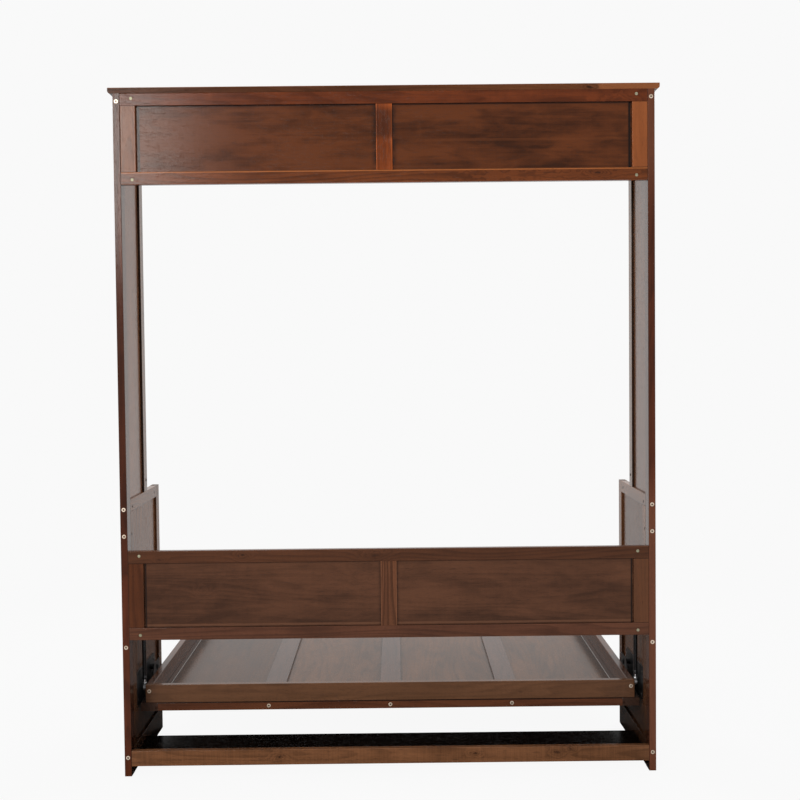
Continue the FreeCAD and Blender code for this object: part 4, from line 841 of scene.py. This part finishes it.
def screw_rings(given):
    """A low domed head with a cross recess, standing on the surface, and a shank."""
    head = given["Head diameter"] / 2.0
    shank = given["Shank diameter"] / 2.0
    rise = given["Head height"] * -1.0
    return [
        (0.0, rise * 0.15, 0.0, 0.0, 0.0, 1.0),
        (head * 0.16, rise * 0.2, 0.0, 0.5, 0.0, 1.0),
        (head * 0.36, rise * 0.94, 0.0, 0.42, 0.0, 0.3),
        (head * 0.62, rise * 0.97, 0.0, 0.0, 0.0, 0.0),
        (head * 0.8, rise * 0.72, 0.0, 0.0, 0.0, 0.0),
        (head * 0.95, rise * 0.4, 0.0, 0.0, 0.0, 0.0),
        (head, rise * 0.12, 0.0, 0.0, 0.0, 0.3),
        (head, 0.0, 0.0, 0.0, 0.0, 1.0),
        (shank, 0.0, 0.0, 0.0, 0.0, 0.0),
        (shank, shank * -0.8, 0.0, 0.0, 1.0, 0.0),
        (0.0, 0.0, 0.0, 0.0, 1.0, 0.0),
    ]


def nut_rings(given):
    """A round barrel with softened ends."""
    barrel = given["Barrel diameter"] / 2.0
    soft = given["Softening"]
    return [
        (0.0, 0.0, 0.0, 0.0, 0.0, 0.0),
        (barrel - soft, 0.0, 0.0, 0.0, 0.0, 0.0),
        (barrel, soft, 0.0, 0.0, 0.0, 0.6),
        (barrel, soft * -1.0, 0.0, 0.0, 1.0, 0.0),
        (barrel - soft, 0.0, 0.0, 0.0, 1.0, 0.0),
        (0.0, 0.0, 0.0, 0.0, 1.0, 0.0),
    ]


def cut_nut(tree, given, barrel):
    """Cut the screwdriver slot into the face of the barrel."""
    width = given["Slot width"]
    size = merge(tree, given["Barrel diameter"] * 1.2, width, width * 2.0)
    slot = add(tree, "GeometryNodeMeshCube", {"Size": size})
    inputs = {"Mesh 1": barrel, "Mesh 2": slot}
    return add(tree, "GeometryNodeMeshBoolean", inputs, operation="DIFFERENCE")


BOLT_SIZES = {
    "Head diameter": 0.014,
    "Head height": 0.003,
    "Shank diameter": 0.006,
    "Socket width": 0.005,
    "Socket depth": 0.002,
    "Softening": 0.0005,
}
SCREW_SIZES = {"Head diameter": 0.010, "Head height": 0.0016, "Shank diameter": 0.005}
NUT_SIZES = {"Barrel diameter": 0.010, "Softening": 0.0006, "Slot width": 0.0015}
BOLT_TREE = fastener_tree("Hexagon_socket_bolt", BOLT_SIZES, bolt_rings)
SCREW_TREE = fastener_tree("Cross_recess_screw", SCREW_SIZES, screw_rings)
NUT_TREE = fastener_tree("Barrel_nut", NUT_SIZES, nut_rings, [cut_nut])


def fasteners(name, tree, finish, slot, places, sizes, body, node):
    """Set fasteners at the given places; each is a point, a way in, a slot and a reach."""
    mesh = bpy.data.meshes.new(name + "_places")
    mesh.from_pydata([place[0] for place in places], [], [])
    kinds = (("way", "FLOAT_VECTOR"), ("slot", "FLOAT_VECTOR"), ("reach", "FLOAT"))
    for column, (label, kind) in enumerate(kinds, 1):
        attribute = mesh.attributes.new(label, kind, "POINT")
        field = "value" if kind == "FLOAT" else "vector"
        for number, place in enumerate(places):
            setattr(attribute.data[number], field, place[column])
    holder = linked(name + "_places", mesh)
    modifier = holder.modifiers.new("Fasteners", "NODES")
    modifier.node_group = tree
    sockets = {
        item.name: item.identifier
        for item in tree.interface.items_tree
        if item.item_type == "SOCKET" and item.in_out == "INPUT"
    }
    for label, value in sizes.items():
        modifier[sockets[label]] = value
    modifier[sockets["Finish"]] = finish
    graph = bpy.context.evaluated_depsgraph_get()
    plain = bpy.data.meshes.new_from_object(holder.evaluated_get(graph))
    bpy.data.objects.remove(holder)
    for label in ("way", "slot", "reach", "tip"):
        if label in plain.attributes:
            plain.attributes.remove(plain.attributes[label])
    finished(name, plain, finish, body, node)


def finished(name, mesh, finish, body, node=None):
    """Make a piece of a mesh, with its faces outwards, and let it ride on its body."""
    work = bmesh.new()
    work.from_mesh(mesh)
    bmesh.ops.remove_doubles(work, verts=work.verts, dist=1e-6)
    bmesh.ops.recalc_face_normals(work, faces=work.faces)
    for face in work.faces:
        face.smooth = True
    work.to_mesh(mesh)
    work.free()
    mesh.set_sharp_from_angle(angle=SHARP)
    mesh.materials.clear()
    mesh.materials.append(finish)
    mesh.name = name
    piece = linked(name, mesh)
    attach(piece, body)
    if node:
        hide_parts(node)


def from_wall(x, y, z):
    """A point whose second number is counted from the wall."""
    return (x, WALL + y, z)


def both(point, way, slot, reach):
    """The same fastener on the left and on the right."""
    twins = []
    for side in (-1, 1):
        mirrored = [(side * x, y, z) for x, y, z in (point, way, slot)]
        twins.append((*mirrored, reach))
    return twins


UP, DOWN, ROOM, WALLWARD = (0, 0, 1), (0, 0, -1), (0, 1, 0), (0, -1, 0)
OUT, IN = (1, 0, 0), (-1, 0, 0)
# a head stands this far below the wood's surface
SINK = 0.0003
NUT_LENGTH, DECK_NUT_LENGTH = 0.019, 0.023
FRAME_BOLT_SIZES = {**BOLT_SIZES, "Shank diameter": 0.008}

# bolts from the wall side: height, reach of the bolt, and depth of its nut from the wall
REAR_BOLTS = (
    (2.128, 0.089, 0.083), (0.850, 0.089, 0.083), (0.765, 0.070, 0.064),
    (0.412, 0.070, 0.064), (0.059, 0.089, 0.083),
)
# bolts from the room side: depth of the head and of the nut from the wall, and height
FRONT_BOLTS = ((0.314, 0.233, 2.128), (0.511, 0.430, 0.857), (0.511, 0.430, 0.059))
FRONT_BOLT_REACH = 0.087
SIDE_MIDDLE, SIDE_OUT = 0.834, 0.845
frame_bolts, side_nuts = [], []
for height, reach, nut_depth in REAR_BOLTS:
    frame_bolts += both(from_wall(SIDE_MIDDLE, SINK, height), ROOM, UP, reach - SINK)
    side_nuts += both(from_wall(POST_INSIDE, nut_depth, height), OUT, ROOM, NUT_LENGTH)
for depth, nut_depth, height in FRONT_BOLTS:
    head = from_wall(SIDE_MIDDLE, depth - SINK, height)
    frame_bolts += both(head, WALLWARD, UP, FRONT_BOLT_REACH - SINK)
    side_nuts += both(from_wall(POST_INSIDE, nut_depth, height), OUT, ROOM, NUT_LENGTH)

# bolts from the outside of the posts into the rails of the rear panels
RAIL_HEIGHTS = (2.1365, 1.8845, 0.703, 0.451, 0.072)
RAIL_THICK, RAIL_BOLT_REACH, RAIL_NUT = 0.022, 0.063, 0.788
rail_bolts, rail_nuts = [], []
for height in RAIL_HEIGHTS:
    head = from_wall(SIDE_OUT - SINK, RAIL_THICK / 2, height)
    rail_bolts += both(head, IN, UP, RAIL_BOLT_REACH - SINK)
for height in RAIL_HEIGHTS[:4]:
    rail_nuts += both(from_wall(RAIL_NUT, 0.0, height), ROOM, OUT, NUT_LENGTH)
rail_nuts += both(from_wall(RAIL_NUT, RAIL_THICK, RAIL_HEIGHTS[4]), WALLWARD, OUT, NUT_LENGTH)

# bolts through the head and foot of the bed into its sides and its inner stiles
BED_HEAD, BED_FOOT = 0.139, 2.218
TRAY_BOLT, TRAY_BOLT_HEIGHT, TRAY_BOLT_REACH, TRAY_NUT = 0.7925, 0.2335, 0.061, 0.7815
INNER_STILES, DECK_BOLT_HEIGHT, DECK_BOLT_REACH = (-0.4, 0.0, 0.4), 0.1815, 0.111
TRAY_NUT_DEPTHS, DECK_NUT_DEPTHS = (0.194, 2.163), (0.244, 2.113)
bed_bolts, bed_nuts = [], []
for face, way in ((BED_HEAD + SINK, ROOM), (BED_FOOT - SINK, WALLWARD)):
    head = from_wall(TRAY_BOLT, face, TRAY_BOLT_HEIGHT)
    bed_bolts += both(head, way, UP, TRAY_BOLT_REACH - SINK)
    for x in INNER_STILES:
        head = from_wall(x, face, DECK_BOLT_HEIGHT)
        bed_bolts.append((head, way, UP, DECK_BOLT_REACH - SINK))
for depth in TRAY_NUT_DEPTHS:
    bed_nuts += both(from_wall(TRAY_NUT, depth, TRAY_BOLT_HEIGHT), OUT, ROOM, NUT_LENGTH)
for depth in DECK_NUT_DEPTHS:
    for x in INNER_STILES:
        bed_nuts.append((from_wall(x, depth, TRAY_LOW), DOWN, ROOM, DECK_NUT_LENGTH))

# screws of the plates and brackets, as depth and height or as depths, and one in each
# upper front stile
PLATE_FACE, BED_PLATE_FACE, LEG_PLATE_FACE = 0.8255, 0.8065, 0.1655
PLATE_SCREWS = ((0.128, 0.210), (0.128, 0.282), (0.382, 0.210), (0.382, 0.282))
BRACKET_SCREWS, STILE_SCREW = ((0.157, 0.625), (0.187, 0.655)), (0.298, 0.915)
BED_PLATE_SCREWS, BED_PLATE_MIDDLE = (0.172, 0.233, 0.294, 0.355), 0.2195
LEG_PLATE_SCREWS, LEG_PLATE_ROWS = (2.153, 2.211), (0.6885, 0.7185)
STILE_SCREW_LENGTH, PLATE_SCREW_LENGTH, BED_SCREW_LENGTH = 0.016, 0.010, 0.009
cabinet_screws = both(from_wall(POST_INSIDE, *STILE_SCREW), OUT, UP, STILE_SCREW_LENGTH)
for depth, height in PLATE_SCREWS + BRACKET_SCREWS:
    cabinet_screws += both(from_wall(PLATE_FACE, depth, height), OUT, UP, PLATE_SCREW_LENGTH)
bed_screws = []
for depth in BED_PLATE_SCREWS:
    point = from_wall(BED_PLATE_FACE, depth, BED_PLATE_MIDDLE)
    bed_screws += both(point, IN, UP, BED_SCREW_LENGTH)
for depth in LEG_PLATE_SCREWS:
    for x in LEG_PLATE_ROWS:
        bed_screws += both(from_wall(x, depth, LEG_PLATE_FACE), UP, ROOM, BED_SCREW_LENGTH)

BOLT, SCREW = (BOLT_TREE, PLATED, "zinc_fastener"), (SCREW_TREE, DARK_SCREW, "dark_screw")
NUT, DARK_NUT = (NUT_TREE, NUT_PLATED, "zinc_fastener"), (NUT_TREE, NUT_SHADED, "zinc_fastener")
for name, kind, *rest in (
    ("frame_bolt_set", BOLT, frame_bolts, FRAME_BOLT_SIZES, "cabinet", "frame_bolts"),
    ("rail_bolt_set", BOLT, rail_bolts, BOLT_SIZES, "cabinet", "rail_bolts"),
    ("bed_bolt_set", BOLT, bed_bolts, BOLT_SIZES, "bed", "bed_bolts"),
    ("side_barrel_nut_set", DARK_NUT, side_nuts, NUT_SIZES, "cabinet", "frame_barrel_nuts"),
    ("frame_barrel_nut_set", NUT, rail_nuts, NUT_SIZES, "cabinet", "frame_barrel_nuts"),
    ("bed_barrel_nut_set", NUT, bed_nuts, NUT_SIZES, "bed", "bed_barrel_nuts"),
    ("cabinet_screw_set", SCREW, cabinet_screws, SCREW_SIZES, "cabinet", "cabinet_screws"),
    ("bed_screw_set", SCREW, bed_screws, SCREW_SIZES, "bed", "bed_screws"),
):
    fasteners(name, *kind, *rest)

# --- Struts, pivot pins and legs ---

ROUND = 40


def lathe(work, profile, centre, axis, closed=False):
    """Turn a profile of (radius, distance along the axis) round an axis."""
    turn = Vector((0, 0, 1)).rotation_difference(Vector(axis)).to_matrix()
    rows = []
    for radius, along in profile:
        row = []
        for number in range(ROUND):
            angle = math.tau * number / ROUND
            local = Vector((radius * math.cos(angle), radius * math.sin(angle), along))
            row.append(work.verts.new(Vector(centre) + turn @ local))
        rows.append(row)
    for first, second in zip(rows, rows[1:] + (rows[:1] if closed else [])):
        for number in range(ROUND):
            after = (number + 1) % ROUND
            work.faces.new((first[number], first[after], second[after], second[number]))
    if not closed:
        work.faces.new(rows[0])
        work.faces.new(rows[-1])


def eye(work, height):
    """A strut's eye, turned as a closed ring with softened edges, on its stud."""
    outer, inner, width, soft = 0.009, 0.0043, 0.009, 0.0008
    section = [
        (inner + soft, 0.0), (outer - soft, 0.0), (outer, soft), (outer, width - soft),
        (outer - soft, width), (inner + soft, width), (inner, width - soft), (inner, soft),
    ]
    lathe(work, section, (EYE_FACE, STRUT_Y, height), IN, closed=True)


def mesh_of(name, build, mirror=False):
    """A mesh built in bmesh, on the left, or mirrored to the right."""
    work = bmesh.new()
    build(work)
    if mirror:
        bmesh.ops.scale(work, vec=(-1, 1, 1), verts=work.verts)
    mesh = bpy.data.meshes.new(name)
    work.to_mesh(mesh)
    work.free()
    return mesh


STRUT_X, STRUT_Y = -0.8135, WALL + 0.172
EYE_FACE = STRUT_X + 0.0045
UPPER_STUD, LOWER_STUD = 0.640, 0.238
TUBE_TOP, TUBE_FOOT = 0.626, 0.265
ROD_FOOT, COLLAR_FOOT = 0.244, 0.2455


def strut_tube(work):
    """Painted pressure tube with a rolled shoulder, a crimp near its mouth, and an eye."""
    eye(work, UPPER_STUD)
    neck = [(0.0038, 0.0), (0.0038, 0.0085), (0.0046, 0.0095), (0.0046, 0.014)]
    lathe(work, neck, (STRUT_X, STRUT_Y, TUBE_TOP - 0.004), UP)
    wide, length = 0.0068, TUBE_TOP - TUBE_FOOT
    wall = [
        (0.0030, 0.0),
        (0.0052, 0.0003),
        (0.0064, 0.0012),
        (wide, 0.0030),
        (wide, length - 0.016),
        (0.0062, length - 0.0145),
        (0.0062, length - 0.0125),
        (wide, length - 0.011),
        (wide, length - 0.0022),
        (0.0063, length - 0.0007),
        (0.0055, length),
        (0.0043, length - 0.0002),
        (0.0043, length - 0.012),
    ]
    lathe(work, wall, (STRUT_X, STRUT_Y, TUBE_TOP), DOWN)


def strut_rod(work):
    """Chromed rod."""
    rod = [(0.0037, 0.0), (0.004, 0.0003), (0.004, 0.3392), (0.0032, 0.34)]
    lathe(work, rod, (STRUT_X, STRUT_Y, ROD_FOOT), UP)


def strut_end(work):
    """Zinc eye with its collar, screwed on the rod."""
    eye(work, LOWER_STUD)
    collar = [
        (0.0040, 0.0), (0.0055, 0.0008), (0.0060, 0.0020), (0.0060, 0.0085), (0.0053, 0.0098)
    ]
    lathe(work, collar, (STRUT_X, STRUT_Y, COLLAR_FOOT), UP)


PIVOT = (-0.7992, WALL + 0.330, 0.267)


def pivot_pins(work):
    """Two pins, each with a chamfered head, a sunk socket and a wide shoulder."""
    profile = [
        (0.0042, 0.0016),
        (0.0045, 0.0003),
        (0.0050, 0.0),
        (0.0078, 0.0),
        (0.0088, 0.0006),
        (0.0090, 0.0016),
        (0.0090, 0.0040),
        (0.0060, 0.0040),
        (0.0060, 0.0076),
        (0.0084, 0.0076),
        (0.0090, 0.0084),
        (0.0090, 0.0263),
        (0.0060, 0.0263),
        (0.0060, 0.0303),
    ]
    lathe(work, profile, PIVOT, IN)
    copy = bmesh.ops.duplicate(work, geom=work.verts[:] + work.edges[:] + work.faces[:])
    verts = [item for item in copy["geom"] if isinstance(item, bmesh.types.BMVert)]
    bmesh.ops.scale(work, vec=(-1, 1, 1), verts=verts)


LEG_X, LEG_Y, LEG_PIVOT = -0.7035, WALL + 2.182, 0.1385
PAD_SIDE, PAD_THICK = 0.038, 0.006


def soften(work, edges, radius, segments):
    bmesh.ops.bevel(
        work, geom=edges, offset=radius, segments=segments, profile=0.5, affect="EDGES"
    )


def block(work, middle, size):
    made = bmesh.ops.create_cube(work, size=1.0)["verts"]
    bmesh.ops.scale(work, vec=size, verts=made)
    bmesh.ops.translate(work, vec=middle, verts=made)


def leg_shape(work):
    """Square wooden leg whose top is rounded about its pivot."""
    half, steps = 0.022, 20
    outline = [(-half, PAD_THICK), (half, PAD_THICK)]
    for step in range(steps + 1):
        angle = math.pi * step / steps
        outline.append((half * math.cos(angle), LEG_PIVOT + half * math.sin(angle)))
    verts = [work.verts.new((LEG_X - half, LEG_Y + y, z)) for y, z in outline]
    base = work.faces.new(verts)
    moved = bmesh.ops.extrude_face_region(work, geom=[base])
    fresh = [item for item in moved["geom"] if isinstance(item, bmesh.types.BMVert)]
    bmesh.ops.translate(work, vec=(2 * half, 0, 0), verts=fresh)
    bmesh.ops.recalc_face_normals(work, faces=work.faces)
    sharp = [edge for edge in work.edges if edge.calc_face_angle(0) > math.radians(40)]
    soften(work, sharp, 0.002, 3)


def leg_pad(work):
    """Rubber pad under the leg."""
    block(work, (LEG_X, LEG_Y, PAD_THICK / 2), (PAD_SIDE, PAD_SIDE, PAD_THICK))
    soften(work, work.edges[:], 0.0015, 2)


PLUG_X, PLUG_HEIGHT, PLUG_ENDS = 0.7685, 0.180, ((0.1392, 0.160), (2.197, 2.2178))
PLUG_WIDE, PLUG_HIGH = 0.0086, 0.0088


def groove_plugs(work):
    """Short wooden plugs in the open ends of the grooves of the deck's outer stiles."""
    for side in (-1, 1):
        for start, end in PLUG_ENDS:
            middle = (side * PLUG_X, WALL + (start + end) / 2, PLUG_HEIGHT)
            block(work, middle, (PLUG_WIDE, end - start, PLUG_HIGH))
    soften(work, work.edges[:], 0.0004, 2)


for side, mirror in (("left", False), ("right", True)):
    tube_body, rod_body = side + "_strut_tube_body", side + "_strut_rod_body"
    leg_body = side + "_leg_body"
    for name, build, finish, body, slot, node in (
        ("pressure_tube", strut_tube, TUBE_PAINT, tube_body, "black_strut_tube", "strut_tube"),
        ("piston_rod", strut_rod, CHROME, rod_body, "chrome_rod", "strut_rod"),
        ("strut_end", strut_end, ZINC, rod_body, "bright_steel", "strut_rod"),
        ("wooden_leg", leg_shape, LEG_WOOD, leg_body, "walnut_stained_wood", "leg"),
        ("leg_pad", leg_pad, RUBBER, leg_body, None, "leg"),
    ):
        label = side + "_" + name
        finished(label, mesh_of(label, build, mirror), finish, body, side + "_" + node)

pins = mesh_of("pivot_pin_set", pivot_pins)
finished("pivot_pin_set", pins, BLACK_PAINT, "cabinet", "pivot_pins")

PLUG_WOOD = wood("plug_wood", "Y", (0.040, 0.0145, 0.0065), seed=27.0)
plugs = mesh_of("deck_groove_plugs", groove_plugs)
finished("deck_groove_plugs", plugs, PLUG_WOOD, "bed")

# --- Floor, background, light and camera ---

AMBIENT = 0.78
FLOOR_REACH, FLOOR_TONE, FLOOR_UNDER_BED = 60.0, (0.86, 0.86, 0.86), (0.11, 0.10, 0.095)
# where the dark floor below the bed ends and where it is full, along and across the bed
UNDER_ALONG, UNDER_ACROSS = (WALL + 2.3, WALL + 2.1), (1.0, 0.8)


def seen_directly(tree, straight=1.0, mirrored=1.0):
    """How far a ray sees the plain background: straight, or in gloss and through glass."""
    path = tree.nodes.new("ShaderNodeLightPath")
    share = Field(tree, path.outputs["Is Glossy Ray"])
    share = share.math("ADD", Field(tree, path.outputs["Is Transmission Ray"]), clamp=True)
    share = share * mirrored
    return share.math("MAXIMUM", Field(tree, path.outputs["Is Camera Ray"]) * straight)


def surface(tree, kind, share, first, second):
    """Mix two shaders by a share and give the result to a new output."""
    mixed = tree.nodes.new("ShaderNodeMixShader")
    for place, value in zip(mixed.inputs, (share, first, second)):
        put(tree, place, value)
    tree.links.new(mixed.outputs[0], tree.nodes.new(kind).inputs["Surface"])


def make_floor():
    """Pale floor. Seen directly it has the background's colour and keeps a soft shadow.

    Gloss sees it dark below the bed, where the emission would leave out the shadow.
    """
    mesh = bpy.data.meshes.new("floor")
    corners = ((-1, -1), (1, -1), (1, 1), (-1, 1))
    verts = [(x * FLOOR_REACH, y * FLOOR_REACH, 0) for x, y in corners]
    mesh.from_pydata(verts, [], [(0, 1, 2, 3)])
    floor = linked("floor", mesh)
    material = bpy.data.materials.new("pale_floor")
    material.use_nodes = True
    tree = material.node_tree
    tree.nodes.clear()
    place = add(tree, "ShaderNodeTexCoord", output="Object")
    x, y, _ = split(tree, place)
    shade = ramp(tree, y, *UNDER_ALONG) * ramp(tree, x.math("ABSOLUTE"), *UNDER_ACROSS)
    gloss = add(tree, "ShaderNodeLightPath", output="Is Glossy Ray")
    tone = blend(tree, shade * gloss, FLOOR_TONE, FLOOR_UNDER_BED)
    plain = add(tree, "ShaderNodeBsdfDiffuse", {"Color": tone})
    glow = add(tree, "ShaderNodeEmission", {"Color": BACKGROUND, "Strength": 1.0})
    # near the bed a little of the real floor shows through, with its shadow
    away = vector_math(tree, "LENGTH", place, output="Value")
    straight = ramp(tree, away, 1.2, 3.0, 0.98, 1.0)
    share = seen_directly(tree, straight, ramp(tree, away, 1.3, 2.6))
    surface(tree, "ShaderNodeOutputMaterial", share, plain, glow)
    mesh.materials.append(material)


def make_world():
    world = bpy.data.worlds.new("studio")
    world.use_nodes = True
    bpy.context.scene.world = world
    tree = world.node_tree
    tree.nodes.clear()
    white = (1.0, 1.0, 1.0, 1.0)
    ambient = add(tree, "ShaderNodeBackground", {"Color": white, "Strength": AMBIENT})
    backdrop = add(tree, "ShaderNodeBackground", {"Color": BACKGROUND, "Strength": 1.0})
    surface(tree, "ShaderNodeOutputWorld", seen_directly(tree), ambient, backdrop)


def softbox(name, place, target, width, height, power, colour=(1.0, 1.0, 1.0)):
    light = bpy.data.lights.new(name, "AREA")
    light.shape = "RECTANGLE"
    light.size = width
    light.size_y = height
    light.energy = power
    light.color = colour
    lamp = linked(name, light)
    lamp.location = place
    way = Vector(target) - Vector(place)
    lamp.rotation_mode = "QUATERNION"
    lamp.rotation_quaternion = way.to_track_quat("-Z", "Y")


make_floor()
make_world()
softbox("key_softbox", (-2.40, -6.5, 2.98), (-0.7, WALL, 1.9), 1.4, 1.7, 200.0, (1.0, 0.97, 0.93))
softbox("top_softbox", (0.3, -1.4, 5.0), (0.0, 0.0, 0.0), 3.0, 3.0, 40.0)
for side in (-1, 1):
    softbox("room_softbox", (side * 2.6, 2.2, 3.6), (side * -0.7, -0.7, 1.0), 1.6, 1.6, 110.0)

# the photograph's camera: lens in mm, place in m, turns in radians
LENS, SENSOR = 54.215, 36.0
CAMERA_PLACE = (0.02848, -4.89494, 1.32604)
YAW, PITCH, ROLL = 0.00336, 0.03643, 0.01019


def make_camera():
    data = bpy.data.cameras.new("camera")
    data.lens = LENS
    data.sensor_width = SENSOR
    data.clip_end = 200.0
    camera = linked("camera", data)
    cos_yaw, sin_yaw = math.cos(YAW), math.sin(YAW)
    cos_pitch, sin_pitch = math.cos(PITCH), math.sin(PITCH)
    level = Vector((cos_yaw, -sin_yaw, 0.0))
    upright = Vector((sin_yaw * sin_pitch, cos_yaw * sin_pitch, cos_pitch))
    ahead = Vector((sin_yaw * cos_pitch, cos_yaw * cos_pitch, -sin_pitch))
    right = level * math.cos(ROLL) - upright * math.sin(ROLL)
    up = level * math.sin(ROLL) + upright * math.cos(ROLL)
    turn = Matrix((right, up, -ahead)).transposed().to_4x4()
    camera.matrix_world = Matrix.Translation(CAMERA_PLACE) @ turn
    bpy.context.scene.camera = camera


make_camera()
bpy.context.scene.view_settings.view_transform = "Standard"
